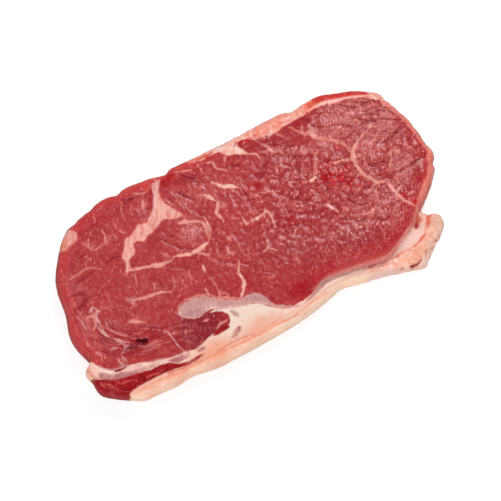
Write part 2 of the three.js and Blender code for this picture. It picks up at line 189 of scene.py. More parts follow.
# The strokes below are grouped by kind: (half width in mm at the middle, strength, tone): its lines.
# Pale seams and veins. Tone: 0 pink, 1 cream.
SEAMS = {
    (0.8, 0.9, 0.6): [[(-63.5, 7), (-54, 4.5), (-46.5, 2.5), (-42, 2.5), (-38.5, 3.5), (-32.5, 1.5)]],
    (0.9, 1.0, 0.8): [[(-38.5, 3.5), (-32.5, 1.5), (-28, 1.5), (-22, 3)]],
    (1.0, 0.8, 0.4): [[(-28, 0), (-25.5, -1.5), (-24, -3)]],
    (0.3, 0.6, 0.4): [[(-25, -3), (-23, -7.5)], [(66.5, -5.5), (64.5, -8.5), (63, -14)],
        [(64.5, -5.5), (60.5, -7.5)], [(71, -17), (70.5, -19), (67, -22)], [(-9, 39.5), (-9, 37)]],
    (0.45, 0.8, 0.6): [[(-20.5, 6), (-19.5, 8.5), (-20, 13), (-22, 15.5), (-26, 16.5)]],
    (0.75, 0.85, 0.5): [[(-30.6, 18.2), (-28.5, 17.8), (-26, 16.7), (-23.5, 15.4)]],
    (0.3, 0.7, 0.5): [[(-22, 3), (-18, 8), (-18, 14.5)], [(-74, 29.5), (-75, 26), (-75, 24.5)],
        [(-41.5, 37), (-43, 34.5), (-43, 32.5)],
        [(-29, -13.5), (-28, -15.5), (-27.5, -18.5), (-27.5, -20.5)]],
    (0.25, 0.6, 0.5): [[(-21, 5), (-20.5, 9), (-20, 12.5)], [(-59, 31.5), (-59.5, 29)],
        [(-77.5, 29), (-76, 27), (-75, 25), (-72.5, 25.5)], [(-36, -5.5), (-37, -9.5)],
        [(-95, -16.5), (-95, -19)], [(-76.5, 0), (-76.5, -2.5)], [(71.5, 10), (70, 7.5)],
        [(79, 19), (78.5, 17.5), (74, 15)]],
    (0.35, 0.5, 0.4): [[(-45, 8.5), (-43, 6), (-41, 4)],
        [(-90.5, -6.5), (-88.5, -8), (-88, -10.5), (-89, -12)], [(22, 41.5), (24.5, 37.5), (26.5, 34.5)],
        [(58, 28.5), (63, 29.5), (64, 30)]],
    (0.7, 0.75, 0.5): [[(-67, -7.5), (-61.5, -9), (-57, -9.5), (-54.5, -9.5), (-48.5, -12)]],
    (0.6, 0.75, 0.5): [[(-75, -18), (-72.5, -17), (-70, -18), (-65.5, -20.5)]],
    (0.5, 0.5, 0.2): [[(-90.5, 15.5), (-85.5, 15.5), (-82.5, 16), (-78.5, 15.5), (-74, 13)]],
    (0.9, 1.0, 0.9): [[(-7, 30.5), (-5, 28.5), (-2.5, 26), (0.5, 24.5), (3.5, 22.5)]],
    (0.9, 0.9, 0.8): [[(-13, 26), (-11.5, 24), (-10, 21.5)]],
    (0.9, 0.9, 0.7): [[(-9, 20), (-10, 17), (-11.5, 14.5), (-10.5, 12), (-10.5, 9.5)]],
    (0.5, 0.8, 0.5): [[(-10, 17), (-7, 16.5)], [(-32.5, -17.5), (-32.5, -21.5)],
        [(-26.5, -21.5), (-28, -23.5)]],
    (0.5, 0.9, 0.6): [[(-1, 8), (-0.5, 3.5), (2.5, 4), (7.5, 4.5), (11.5, 5.5), (12, 1.5), (11.5, -4)]],
    (0.45, 0.7, 0.7): [[(5, -8), (3.5, -12), (1, -12.5)]],
    (0.4, 0.6, 0.5): [[(3.5, -12), (7.5, -15)], [(13, 15), (18, 13.5), (19, 11)],
        [(-9.5, 43), (-9.5, 41.5)], [(4, 40.5), (3.5, 37)], [(76, 22), (77.5, 24), (78.5, 23)]],
    (0.45, 0.8, 0.7): [[(20, -9), (17, -12.5)]],
    (0.5, 0.8, 0.7): [[(39.5, -4), (41, -7), (43, -10)]],
    (0.35, 0.8, 0.7): [[(-12, -11.5), (-14, -15.5), (-15, -17.5)]],
    (0.95, 1.0, 0.9): [[(-15, -17.5), (-14.2, -20), (-14.5, -23), (-16.5, -26)]],
    (0.5, 0.9, 0.8): [[(-16, -25), (-18.5, -28.5)]],
    (0.45, 0.7, 0.3): [[(-26.5, -23.5), (-25, -23), (-24, -24.5), (-25, -25.5)]],
    (0.9, 0.7, 0.2): [[(40.5, 40.5), (44.5, 35), (48, 32.5), (50.5, 29.5), (55, 26.5), (59, 23), (61.5, 20),
         (62, 16.5)]],
    (0.9, 0.6, 0.3): [[(48, 23.5), (45.5, 21), (44, 18.5), (42.5, 14), (39.5, 11)]],
    (1.0, 0.9, 0.9): [[(40.5, 10.8), (37.5, 10)]],
    (0.9, 0.85, 0.5): [[(73, 21.5), (69.5, 20), (66.5, 18), (63.5, 15.5), (62, 12), (62, 8), (62.5, 3),
         (64.5, -0.5), (67, -4), (71, -5.5), (72.2, -8.5), (73.5, -14), (76, -19), (80, -23.5)]],
    (0.45, 0.7, 0.5): [[(52, 13.5), (55.5, 13.5), (60, 12)]],
    (0.35, 0.6, 0.5): [[(52.5, -16.5), (57, -17), (61, -16), (61.5, -18)], [(-12.5, 45.5), (-9, 45)],
        [(-49.5, -31.5), (-50.5, -33.5)]],
    (0.3, 0.5, 0.4): [[(79, 18.5), (76, 17), (73, 15)], [(-74.5, 23.5), (-71.5, 23.5), (-68.5, 23.5)],
        [(25.5, 25), (25, 22)], [(50, 34.5), (50, 33)]],
    (0.35, 0.6, 0.4): [[(72.5, 14), (69.5, 12.5), (67, 9.5), (67, 7.5)],
        [(85, 9.5), (88, 8), (90.5, 5.5), (91, 3.5)], [(33.5, 40), (35.5, 37.5)]],
    (0.5, 0.7, 0.4): [[(81, 8), (79.5, 4), (77.5, 1.5), (76, -0.5)]],
    (1.2, 0.6, 0.3): [[(83, 7.5), (83.5, 5)]],
    (0.35, 0.5, 0.3): [[(34.5, -18), (33.5, -21.5), (34.5, -24.5)]],
    (0.25, 0.5, 0.4): [[(15.5, -19), (14, -23.5)], [(12, -16.5), (11, -19)],
        [(-60.5, 5.5), (-61, 2), (-62, -2)], [(-44.5, -4.5), (-45, -8.5), (-46.5, -11.5)],
        [(-44, -8), (-41.5, -9.5), (-41, -12.5)], [(-36.5, -10), (-35.5, -12.5)]],
    (0.25, 0.6, 0.4): [[(25, 38), (26.5, 35)], [(32.5, 41), (34, 38.5)]],
    (0.3, 0.6, 0.5): [[(26.5, 34), (29, 31)], [(-58.5, 26.5), (-56.5, 24.5)]],
    (0.5, 0.6, 0.5): [[(-20.5, 43.5), (-13, 41)]],
    (0.5, 0.7, 0.5): [[(-5, 41.5), (-2, 40), (-2, 36.5), (2.5, 33)]],
    (0.6, 0.8, 0.4): [[(-32, 46.5), (-31.5, 44), (-30, 42.5)]],
    (0.4, 0.7, 0.4): [[(-44.5, 42), (-41.5, 40.5), (-38, 40.5), (-35, 43)]],
    (0.25, 0.5, 0.5): [[(-61, 43.5), (-61.5, 41.5)], [(-67, 40), (-67, 37)], [(-71, 33), (-72.5, 30.5)],
        [(-64, 27), (-64.5, 24.5)], [(-62, 26.5), (-61, 23.5)], [(-51.5, 40), (-53.5, 36), (-54, 31)],
        [(-47.5, 37.5), (-49, 35), (-49.5, 31)], [(-79.5, 19.5), (-80.5, 17.5)], [(-8.5, -3.5), (-9, -7.5)],
        [(-5.5, -8.5), (-6.5, -11)]],
    (0.3, 0.8, 0.5): [[(-66, 31), (-66, 28), (-67, 25.5), (-67, 23)]],
    (0.3, 0.4, 0.4): [[(-79, 22.5), (-78, 21), (-77, 19)]],
    (0.35, 0.7, 0.6): [[(-54, -4), (-55, -7.5)]],
    (0.5, 0.8, 0.9): [[(-29, -6.5), (-29.5, -10)]],
    (0.6, 0.6, 0.5): [[(-14.5, -3), (-14.5, -5.5), (-13, -7.5)]],
    (0.7, 0.6, 0.3): [[(-12, 1.5), (-11, -0.5)]],
    (0.25, 0.6, 0.6): [[(-19.5, -3), (-20, -6.5)], [(-76.5, -2.5), (-77.5, -6)], [(-83, -12), (-83, -14)],
        [(-81, -12.5), (-81, -14)]],
    (0.4, 0.7, 0.5): [[(-29.5, -35.5), (-33.5, -36), (-36.5, -37.8)], [(5.5, 41), (4, 39), (3.5, 37)],
        [(25, 34.5), (29, 31)]],
    (0.6, 0.7, 0.5): [[(-40, -31.5), (-38, -32)]],
    (0.9, 1.0, 0.5): [[(100, 1), (100.5, -1.5), (100.5, -3.5)]],
    (0.8, 1.0, 0.4): [[(98.5, -5.5), (97, -8.5), (95, -12.5), (93.5, -14)]],
    (0.5, 0.9, 0.4): [[(92.5, 33), (94.5, 29), (96.5, 24)]],
    (0.6, 0.9, 0.4): [[(97.5, 20), (98.5, 15), (98.5, 10)]],
    (0.6, 0.8, 0.3): [[(98, 7.5), (99, 3.5), (100, 1)]],
    (0.3, 0.9, 0.4): [[(-88, -42.5), (-85, -42.5), (-81.5, -43.5), (-81, -44.5)]],
    (0.3, 0.9, 0.5): [[(-76, -44.5), (-72.5, -44.5), (-69, -45)]],
    (0.3, 0.8, 0.4): [[(-97, -38.5), (-94, -40), (-92, -42)]],
    (0.25, 0.8, 0.4): [[(-94.5, -43.5), (-93.5, -45.5)], [(-91.5, -43), (-91, -44.5)]],
    (0.25, 0.7, 0.6): [[(-67.5, -9.5), (-67.5, -11)]],
    (0.35, 0.7, 0.5): [[(-93, -23.5), (-91.5, -25.5), (-92, -28)]],
    (0.3, 0.5, 0.5): [[(-68, -16), (-68.5, -17)]],
    (0.7, 0.8, 0.3): [[(-90, -6), (-88, -7), (-87, -9.5), (-88, -11.5), (-89.5, -13)]],
    (0.45, 0.8, 0.5): [[(16, 36), (19, 34.5), (20, 31.5)]],
    (0.4, 0.6, 0.4): [[(72, 21.5), (69, 19.5), (66.5, 18.5)]],
    (0.4, 0.6, 0.6): [[(71, 29.5), (72.5, 29), (73, 27.5)]],
}

# Whitish film that shines on top, partly real membrane and partly painted glints of the wet surface. Tone: 0
# pink, 1 white.
FILMS_AND_GLINTS = {
    (0.7, 0.7, 0.7): [[(-88, -4), (-87, -3), (-85.5, -3)]],
    (0.6, 0.7, 0.8): [[(-84.5, -4), (-84.5, -5.5), (-83.5, -6)]],
    (0.6, 0.7, 0.7): [[(-86, -6.5), (-86, -9), (-86, -11.5), (-87, -13.5)]],
    (0.5, 0.9, 1.0): [[(-87.6, -12), (-86.8, -15), (-85.9, -17.6), (-84.7, -19.6)]],
    (0.4, 0.9, 0.9): [[(-86.4, -12.5), (-85.6, -15), (-84.8, -17)]],
    (0.4, 0.8, 0.9): [[(-82.6, -21), (-81, -23.8), (-79.4, -26), (-77.6, -27.8)]],
    (0.35, 0.8, 0.9): [[(-81.4, -21.6), (-80, -23.8), (-78.4, -25.6)]],
    (0.4, 0.8, 1.0): [[(-80, -27), (-78, -28)]],
    (0.35, 0.7, 0.8): [[(-85, -30.5), (-84, -34), (-83.5, -35)]],
    (0.3, 0.7, 0.8): [[(-82.6, -31), (-81.6, -33.5)]],
    (0.3, 0.9, 0.7): [[(-59.5, -27.5), (-58, -29.5), (-57, -33), (-56.5, -36), (-55, -40)]],
    (0.5, 0.5, 0.6): [[(-94.5, -3.5), (-93.5, -5.5), (-93, -9), (-93, -11.5)],
        [(73.5, -31), (78, -31.6), (82.5, -30.4)]],
    (0.4, 0.7, 0.9): [[(-86.5, -26), (-85, -25.5), (-83, -26)], [(-82, -29), (-80.5, -29)]],
    (0.35, 0.6, 0.6): [[(90, -3), (94.5, -2.5)], [(88.5, -4), (93, -4)]],
    (0.45, 0.9, 0.8): [[(-34, 43), (-35, 39.5), (-35.5, 36.5), (-37, 32.5), (-39, 29), (-42, 26.5),
         (-45, 24.5)]],
    (0.4, 0.9, 0.8): [[(-29.5, 43.5), (-31.5, 40.5), (-33, 38), (-34.5, 35)]],
    (0.35, 0.7, 0.6): [[(-33.5, 43.5), (-32.5, 42.5), (-30.5, 42)]],
    (0.25, 0.6, 0.5): [[(-28, 35.5), (-26.5, 31.5), (-25.5, 27.5)],
        [(-24.5, 28.5), (-23.5, 23.5), (-22.5, 18.5)], [(-22.5, 22), (-20, 17)]],
    (0.25, 0.5, 0.5): [[(-26.5, 27.5), (-25, 23.5)], [(-32.5, 32.5), (-30.5, 29.5), (-29.5, 27.5)]],
    (0.3, 0.7, 0.6): [[(-18.5, 16), (-18, 11.5), (-18.5, 7)]],
    (0.4, 0.6, 0.5): [[(-24.5, 14.5), (-23.5, 11.5), (-23.8, 9)]],
    (0.35, 0.6, 0.5): [[(-28, 14), (-26.5, 11.5), (-26.5, 9.5)]],
    (0.3, 0.5, 0.5): [[(-31, 13.5), (-29.5, 11.5)]],
    (0.35, 0.5, 0.5): [[(-22.5, 12), (-21.5, 9)]],
    (0.5, 1.0, 1.0): [[(21.5, 44.8), (22, 42)]],
    (0.55, 1.0, 1.0): [[(31.5, 44.5), (31, 42), (28.5, 40)]],
    (0.5, 0.8, 0.9): [[(16, 41), (18, 40)]],
    (0.5, 0.8, 0.0): [[(-49, -20.5), (-47, -19.2), (-43, -18.6), (-38, -18.9), (-35, -19.6), (-32.7, -21)]],
    (0.9, 0.8, 0.0): [[(-36, -20), (-33, -20.4), (-32, -21.5), (-28.8, -24), (-25.5, -26), (-22, -27.4),
         (-19, -28.4)]],
    (0.4, 0.6, 0.7): [[(-39, -26.5), (-35, -27.2), (-31, -28.7), (-26, -31), (-21, -32.2), (-17, -33.2)]],
    (0.4, 0.5, 0.4): [[(-12, -30), (-9.6, -33), (-7.6, -37), (-3, -41), (3, -43.4)],
        [(-37.5, 34), (-39, 30), (-41.8, 26.6), (-44.5, 24), (-48.5, 22.8), (-52.5, 21.2), (-57, 19.5)]],
    (0.5, 0.7, 0.5): [[(-98, -27), (-95, -29.6), (-92.5, -32.4), (-89, -34.4), (-85, -35.2), (-78.5, -36.4),
         (-70, -38.6), (-62.5, -41), (-57, -41.7), (-51, -42.6)]],
    (0.35, 0.5, 0.6): [[(41, -37.6), (49.5, -39), (57, -39.2), (61.5, -38), (66.5, -35), (71.5, -32.4),
         (75.5, -30), (78.5, -27), (81, -25.2)]],
    (0.6, 0.9, 0.4): [[(54, 45), (58, 45.2), (61.5, 45.5), (65.5, 45), (69.5, 44), (75.5, 42.8), (81, 41),
         (84, 39.8)]],
    (0.5, 0.7, 0.4): [[(24, 42.5), (28, 42.3), (32, 41.5), (36, 42.3), (41, 43.4), (48, 43.8)]],
    (0.2, 0.9, 0.6): [[(57, -38.2), (61, -36.8), (66, -33.8), (71, -31.2), (75, -28.8), (78, -25.8),
         (80.5, -23.4)]],
}

# Dark creases between bundles, painted partly as shade in them. Tone: 0 a crease, 1 a deep hole.
CREASES = {
    (0.3, 0.7, 0): [[(-76.5, -23.5), (-72.5, -25.5), (-71, -26.5)],
        [(-74.5, -21.5), (-72.5, -22), (-71, -23.5)], [(-93.5, 7.5), (-90.5, 7), (-87, 6), (-86.5, 3)],
        [(-16, 36), (-14.5, 33.5), (-13.5, 32.5)], [(33.5, 27.5), (35.5, 25.5), (40.5, 23), (44.5, 21.5)],
        [(56.5, -5.5), (57, -8.5), (60, -9)], [(13.5, 23.5), (17, 22.5), (20, 22)], [(20.5, 37), (25, 35)],
        [(3, 35.5), (9.5, 32.5)]],
    (0.35, 0.8, 0): [[(-74, -19.5), (-69, -21.5), (-63, -24.5), (-59.5, -27)],
        [(-72, 14.5), (-70, 15), (-67, 15.5), (-63.5, 15), (-61.5, 15.5)],
        [(-44.5, 16.5), (-42, 14.5), (-39.5, 11), (-37, 8.5), (-34.5, 6), (-29.5, 3)],
        [(50, -6), (52, -9.5), (54.5, -12), (58.5, -12)], [(59, -2.5), (60.5, -5), (63.5, -4.5), (65, -7)],
        [(59, 32.5), (64, 30.5), (71.5, 26), (74.5, 26.5), (76.5, 26)],
        [(81.5, 1.5), (83.5, 2), (85.5, 1.5)]],
    (0.7, 1.0, 0.2): [[(-77.5, -27.5), (-74.5, -28.2), (-70, -29.5)]],
    (1.3, 1.0, 1): [[(-73, -26.6), (-71, -28), (-69, -28.6)]],
    (1.5, 0.8, 0.25): [[(-79, -28.4), (-76.5, -28.4), (-73.5, -28)]],
    (0.3, 0.5, 0): [[(-80, -29.5), (-75.5, -32), (-71.5, -33)], [(-79, -29.5), (-74, -31), (-69, -32)],
        [(-95, 0), (-95.5, -3), (-96, -8.5), (-96.5, -15.5)], [(-92, 9), (-86, 12.5), (-80, 13), (-74, 15)],
        [(-50.5, 41), (-52, 38)], [(-21, -8), (-17.5, -10.5), (-13, -12.5), (-8, -16)]],
    (0.3, 0.6, 0): [[(-83.5, -10), (-83, -12.5), (-82, -15), (-80.5, -17.5), (-77.5, -19.5)],
        [(-81, -10), (-81, -12), (-78.5, -15.5), (-74.5, -19.5)],
        [(-92.5, -22), (-90, -24.5), (-87.5, -27.5), (-84.5, -29.5)], [(-86.5, 3.5), (-82, 2), (-80, 1)],
        [(-84, 22.5), (-81, 23), (-77.5, 23.5), (-75.5, 24)],
        [(-39.5, 17.5), (-39, 15.5), (-37.5, 14), (-34.5, 12.5)],
        [(-45, 1), (-42.5, -1.5), (-38.5, -3), (-34.5, -4), (-31, -3), (-29, -3.5)],
        [(-31, 32.5), (-28.5, 29.5)], [(-24, 40.5), (-20, 38), (-14, 34), (-10, 32)],
        [(29, 2), (32, 2), (34.5, 2.5)], [(18, 26.5), (21, 27.5), (22.5, 27.5)],
        [(42.5, 2.5), (43, -0.5), (41, -3)], [(21.5, 22), (23.5, 20), (26, 18.5), (28.5, 19.5)],
        [(12, 26), (16.5, 24), (22, 22)], [(51.5, 35.5), (54.5, 33.5), (58.5, 32)],
        [(75, 41.5), (77.5, 38.5), (80, 37.5)], [(79.5, 20), (82.5, 18), (86, 18)],
        [(91.5, 19), (94, 17.5), (95, 14.5)]],
    (0.4, 0.8, 0): [[(-88.5, -12.5), (-88, -16.5), (-85.5, -20.5), (-82, -23.5), (-80.5, -26.5),
         (-80, -28)], [(-94, 1), (-93.5, 0), (-89.5, 1), (-86.5, 3)],
        [(42.5, -14), (47.5, -16.5), (51, -19), (53.5, -18.5)], [(57.5, -21), (62, -23.5), (65.5, -22.5)]],
    (0.35, 0.6, 0): [[(-93, -16), (-89, -19.5), (-85, -22), (-82, -24)], [(-4, 3), (-3, 0.5), (-1, -1)],
        [(35.5, 24.5), (35, 20), (34, 16)]],
    (0.35, 0.9, 0.2): [[(-90.5, -34), (-88.5, -35.5), (-84.5, -35.6), (-82.5, -35.6)]],
    (0.45, 1.0, 0): [[(-51, 42.5), (-48.5, 40.5), (-45, 40), (-43, 40.5)]],
    (0.4, 0.7, 0): [[(-19, -1.5), (-17, -2.5)], [(32.5, -3), (33, -6.5), (35, -9.5)]],
    (0.35, 1.0, 0): [[(-24, 32.5), (-22.5, 30), (-20.5, 28), (-18.5, 26)]],
    (0.4, 0.9, 0): [[(-20, 42), (-17, 39.5), (-15.5, 37.5), (-13.5, 36)],
        [(68.5, 41.5), (71.5, 38.5), (76, 36), (79.5, 36.5), (82.5, 36.5), (86.5, 35.5), (88.5, 34.5)],
        [(78.5, 30.5), (81.5, 30), (85.5, 30), (88.5, 28.5), (91.5, 26), (93.5, 24.5)]],
    (0.35, 0.7, 0): [[(-12.5, 33.5), (-10.5, 33)], [(-4.5, -21), (0, -24), (2.5, -27)]],
    (0.35, 0.9, 0): [[(5.5, 19.5), (6, 16.5), (5.5, 14)],
        [(71, 33), (72.5, 30.5), (75, 28.5), (77.5, 26.5), (79.5, 25.5), (81, 25), (84, 25), (88, 23),
         (91, 21.5), (93.5, 21.5)], [(80, 13), (84, 14), (88, 15.5), (92, 16.5), (93.5, 17)],
        [(68, 6), (71.5, 4.5), (75, 3.5), (77.5, 3)]],
    (0.35, 0.5, 0): [[(9, -30), (13.5, -31.5)]],
    (0.3, 0.8, 0): [[(27.5, 37), (32, 34.5), (35, 33), (37, 31)],
        [(25.5, 9.5), (24.5, 7.5), (25.5, 5), (28, 4.5), (30, 5.5), (30.5, 8)],
        [(49, -1.5), (51, -4.5), (54.5, -4.5)], [(38.5, 24.5), (41.5, 22.5), (44.5, 21.5)],
        [(80.5, 28.5), (79.5, 27), (80.5, 25), (83, 25.5), (84, 27.5), (83.5, 29), (81.5, 29),
         (80.5, 28.5)]],
    (0.7, 0.7, 0): [[(76.5, -3.5), (80.5, -3.5), (85, -3.5), (88.5, -2.5), (92.5, -2.5), (95, -2)]],
    (0.4, 0.6, 0): [[(48, 42), (50.5, 39.5), (51, 36.5)]],
}

# Orange and red lines in the fat. Tone: 0 orange, 1 red, more than 1 clotted blood.
STREAKS = {
    (0.4, 0.7, 0.1): [[(-87, -47.8), (-77.5, -48.4), (-69, -48.4), (-61, -49.3), (-54.5, -49), (-45, -48.5),
         (-35, -48.7), (-27, -49), (-17.5, -48.5), (-9, -48), (-3, -47.8), (3, -46.8), (13.5, -44),
         (21, -42)]],
    (0.35, 0.8, 0.5): [[(-40.5, -47), (-35, -47), (-29, -46.5), (-24, -47), (-20.5, -47.4)]],
    (0.3, 0.5, 0.2): [[(-84, -49), (-77.5, -50), (-72.5, -50.5)], [(-87.5, -48.8), (-80.5, -49.6)],
        [(59, -43.5), (61, -43), (64, -43.5)], [(57.5, -44.5), (60.5, -44.5), (64, -45.5), (65.5, -45.5)]],
    (0.3, 0.5, 0.1): [[(-18, -46.8), (-10, -46.4), (-4, -45.6)],
        [(14, -43), (22, -40.4), (30, -39.6), (38, -39.8)]],
    (0.35, 0.9, 0.7): [[(62, -40.8), (57, -40.6), (49.5, -40), (43, -39.4)]],
    (1.2, 0.9, 1.2): [[(-29, 42), (-28.5, 40), (-28, 38.5)]],
    (1.0, 0.9, 1.15): [[(-25.5, 44.5), (-24.5, 42.5), (-23, 40)]],
    (0.6, 0.8, 0.8): [[(-35.5, 43), (-37, 41.5), (-39, 40.5)]],
    (1.3, 0.95, 0.45): [[(86.4, -26.6), (85.2, -28), (83.8, -29.6), (82.8, -31.4), (81.6, -33)]],
    (0.5, 0.75, 0.25): [[(82.5, -31), (81, -32.8), (80, -34.4), (78.6, -35.8)]],
    (0.7, 0.9, 0.4): [[(80, -34.6), (79, -35.5), (76.5, -36.5), (74, -38), (71.5, -39), (70, -39)]],
    (0.45, 0.8, 0.3): [[(70, -39.4), (66.5, -39.4), (63, -39.8), (59, -40.2), (54.5, -40.2), (49, -39.7)]],
    (1.5, 0.9, 0.6): [[(80.6, -26), (79.8, -27.6), (79, -28.8)]],
    (1.2, 1.0, 1.15): [[(78.6, -29), (77.6, -30.2), (76.8, -30.6)]],
    (0.5, 0.9, 1.05): [[(72, -46.5), (71, -47), (71, -48)]],
    (0.8, 0.9, 1.3): [[(70, -47.5), (68.5, -48.5), (67, -48.5), (65, -48)]],
    (0.5, 0.7, 1.2): [[(61.5, -47.5), (60.6, -47.6)]],
    (0.5, 0.6, 0.5): [[(86, -38.5), (85, -39.5)]],
    (0.6, 0.6, 0.5): [[(84, -40.5), (82.5, -41)]],
    (0.5, 0.5, 0.5): [[(81, -41), (80, -41.5)], [(80, -43), (78.5, -43.5)],
        [(28, 44.5), (36, 44.8), (44, 45.2)]],
    (0.5, 0.7, 0.6): [[(76, -44), (75, -44)]],
    (0.4, 0.6, 0.6): [[(75.5, -45.5), (75, -46)]],
    (0.3, 0.6, 0.2): [[(65, -44), (67.5, -45), (69.5, -46)]],
    (0.4, 0.5, 0.2): [[(69, -40), (68, -41), (65, -42)]],
    (0.6, 0.5, 0.2): [[(-100, -29), (-99.5, -33), (-97, -35)]],
    (0.35, 0.7, 1.0): [[(-66, -46.9), (-56.5, -47.6), (-51, -47.1), (-46.5, -46)]],
    (1.5, 0.8, 0.55): [[(54.5, 46.8), (56.5, 48.5), (59, 48.6)]],
    (0.9, 0.8, 0.8): [[(-9, 46), (-5, 46), (0, 46.4)]],
    (0.5, 0.9, 0.9): [[(11, 43.8), (13, 45), (12.5, 46.5)]],
    (1.2, 0.9, 1.0): [[(16.4, 43.8), (18.5, 44.2), (20, 43)]],
    (0.4, 0.8, 0.9): [[(22, 45), (24, 44.5)]],
}

# Mauve marks in the fat, all of one tone.
MAUVES = {
    (1.9, 0.85, 0): [[(-95.8, -34.2), (-93, -36.6), (-90, -38.4), (-86.5, -39.4), (-82.5, -39.9),
         (-78, -40.6)]],
    (1.2, 0.5, 0): [[(-80, -39.9), (-75, -40.6), (-70, -41.2)]],
    (1.7, 0.9, 0): [[(-62, -42.3), (-58.5, -43), (-54.5, -43.6)]],
    (0.9, 0.7, 0): [[(-48, -43.4), (-45, -43.2)]],
    (1.5, 0.9, 0): [[(-25.5, -41.4), (-28, -43.2), (-31, -44.4)]],
    (1.3, 0.8, 0): [[(-26.2, -32.6), (-24.8, -34.4), (-24, -36.2)]],
    (0.6, 0.4, 0): [[(-39.5, -44), (-38, -44.6)]],
}

# Soft fields on the face and in the fat: x, y, radius in mm, strength.
SOFT_FIELDS = {
    # Deep red and wet.
    "bloody": [(50, 5, 5.5, 0.7), (52.5, 6, 2.6, 0.9), (55, 1, 2.6, 1.0), (58, -2.5, 2.2, 0.9),
        (44.5, 8, 2.2, 1.1), (50, 9, 1.8, 0.8), (50, 15, 2.5, 0.8), (57.5, 9, 1.8, 0.8), (13, 19, 1.6, 0.9),
        (41.5, -11, 2, 0.6), (7, -37.5, 4.5, 0.75), (12, -36, 4, 0.6), (2, -35, 3, 0.4),
        (-24.5, 42.5, 2.6, 1.2), (-29, 40.5, 2.4, 1.2), (20, -5, 2.2, 1.3), (20, -1.5, 1.6, 1.1),
        (5.5, 17.5, 2.0, 0.9), (57.5, 21, 2.5, 0.6), (76.5, -15.5, 1.8, 1.1), (88, -9, 6, 0.5),
        (-97, 6, 8, 0.3), (64.5, -23.5, 2.0, 0.8), (-73.5, -28.3, 2.6, 1.2), (16, 44.5, 3.0, 1.2),
        (-10, -25, 7, 0.3), (-20, -20, 5, 0.3), (-33, -34, 6, 0.4), (12, 20, 2.5, 0.5), (9.5, 26, 2.5, 0.5),
        (79.5, -20.5, 2.5, 0.7), (47, 9, 3, 0.6), (44, 14, 3, 0.5)],
    # Dark and dull.
    "dusky": [(-38, -33, 7, 0.8), (-40, -35, 10, 1.2), (-48, -34, 8, 1.0), (42, -28, 14, 0.4),
        (20, -14, 14, 0.5), (-96, -2, 6, 0.4), (28, 28, 8, 0.3), (35, 20, 4, 0.5), (0, -10, 12, 0.3),
        (82, -10, 6, 0.3), (-62, 2, 12, 0.2), (48, -22, 10, 0.3)],
    # Lifted by a pale, frosty sheen, a reflection painted into the colour.
    "sheen": [(76, 33, 11, 0.9), (88, 20, 9, 0.8), (84, 0, 7, 1.0), (62, 34, 8, 0.8), (70, 14, 8, 0.8),
        (90, 28, 5, 0.7), (80, -8, 6, 0.6), (55, -12, 10, 0.35), (46, -20, 8, 0.35), (52, 24, 8, 0.5),
        (-28, 11, 6, 0.55), (-36, 28, 4, 0.3), (-20, 27, 6, 0.35), (66, -22, 8, 0.6), (-88, -8, 5, 0.3),
        (15, -15, 8, 0.2)],
    # Pebbled with the cut ends of bundles.
    "pebbled": [(80, 20, 20, 1.0), (66, 30, 13, 0.8), (30, 30, 12, 0.3), (85, 0, 14, 0.8), (55, 5, 14, 1.0),
        (36, 14, 13, 0.75), (32, 5, 14, 0.9), (8, 18, 10, 0.45), (8, 2, 12, 0.6), (62, -17, 14, 0.7),
        (44, -24, 10, 0.4), (30, -22, 16, 0.4), (-12, 5, 10, 0.35), (-12, 35, 12, 0.25), (-27, 11, 7, 0.5),
        (-70, -26, 8, 0.3), (0, -20, 10, 0.3)],
    # Strewn with short pale flecks along the fibres, partly marbling and partly painted glints.
    "flecked": [(-28, 12, 7, 0.6), (-21, 15, 4, 0.4), (78, -12, 9, 0.8), (70, -22, 9, 0.8),
        (54, -26, 10, 0.7), (28, 26, 10, 0.5), (36, -28, 9, 0.6), (20, -26, 8, 0.5), (0, -22, 9, 0.4),
        (62, 34, 9, 0.5), (-12, 30, 9, 0.3), (-72, 26, 9, 0.5), (-84, -6, 8, 0.6), (-40, -12, 12, 0.5),
        (-60, -2, 12, 0.3), (62, -18, 12, 0.7), (40, -18, 12, 0.5), (75, 12, 10, 0.6), (20, 8, 12, 0.4),
        (-84, -26, 6, 0.5), (10, -14, 10, 0.3), (-20, 24, 8, 0.3)],
    # Warm orange fat.
    "warm": [(80, -35.5, 3.5, 0.6), (75.5, -39.5, 4, 0.9), (70, -42, 5, 0.9), (60, -42, 5, 0.9),
        (51, -42, 5, 0.9), (-99, -31, 3.5, 0.9), (56, 47.5, 3.5, 1.4), (100, -3, 4, 0.9), (-5, 48, 5, 0.8),
        (-42, -48, 9, 0.7), (-20, -47.5, 9, 0.5), (-62, -48.5, 8, 0.6), (30, 45, 10, 0.4),
        (-86, 36, 3, 0.5), (-88, 33, 2.5, 0.8), (-76, -50, 5, 0.4)],
    # Grey-white skin on fat.
    "skin": [(50, -46, 4, 0.7), (56, -47, 4.5, 0.65), (62, -47.5, 3.5, 0.3), (45, -45.5, 3.5, 0.6),
        (72, -50, 3, 0.8), (75, -47.5, 3.5, 0.6), (80, -43, 3.5, 0.5), (85, -40, 3, 0.6),
        (73, -34.5, 4.5, 1.0), (67, -37, 4, 0.9), (79, -31.6, 3.5, 0.9), (60, -38.8, 3.5, 0.6),
        (83, -28.6, 3, 0.7), (64, -48, 1.5, 0.5), (89, -37, 3, 0.5), (17, 50, 6, 0.5), (-3, 50, 8, 0.4),
        (12, 41, 4, 0.5), (5, 46, 4, 0.4)],
    # Loose, lumpy fat.
    "lumpy": [(60, -46, 8, 0.9), (75, -46, 7, 1.0), (84, -40, 5, 0.8), (68, -42, 6, 0.6), (20, 47, 12, 0.6),
        (50, 49, 8, 0.6), (-98, -33, 5, 0.8), (80, 44, 8, 0.5)],
}
# The way that the fibres swirl round the sinew hole at the left.
SWIRL = [(-91, 8), (-90.5, 0), (-89.3, -6), (-87.5, -13), (-83.5, -19.5), (-78, -24.6), (-71.5, -27.8),
         (-63, -29.2), (-54, -31.5), (-46, -35)]

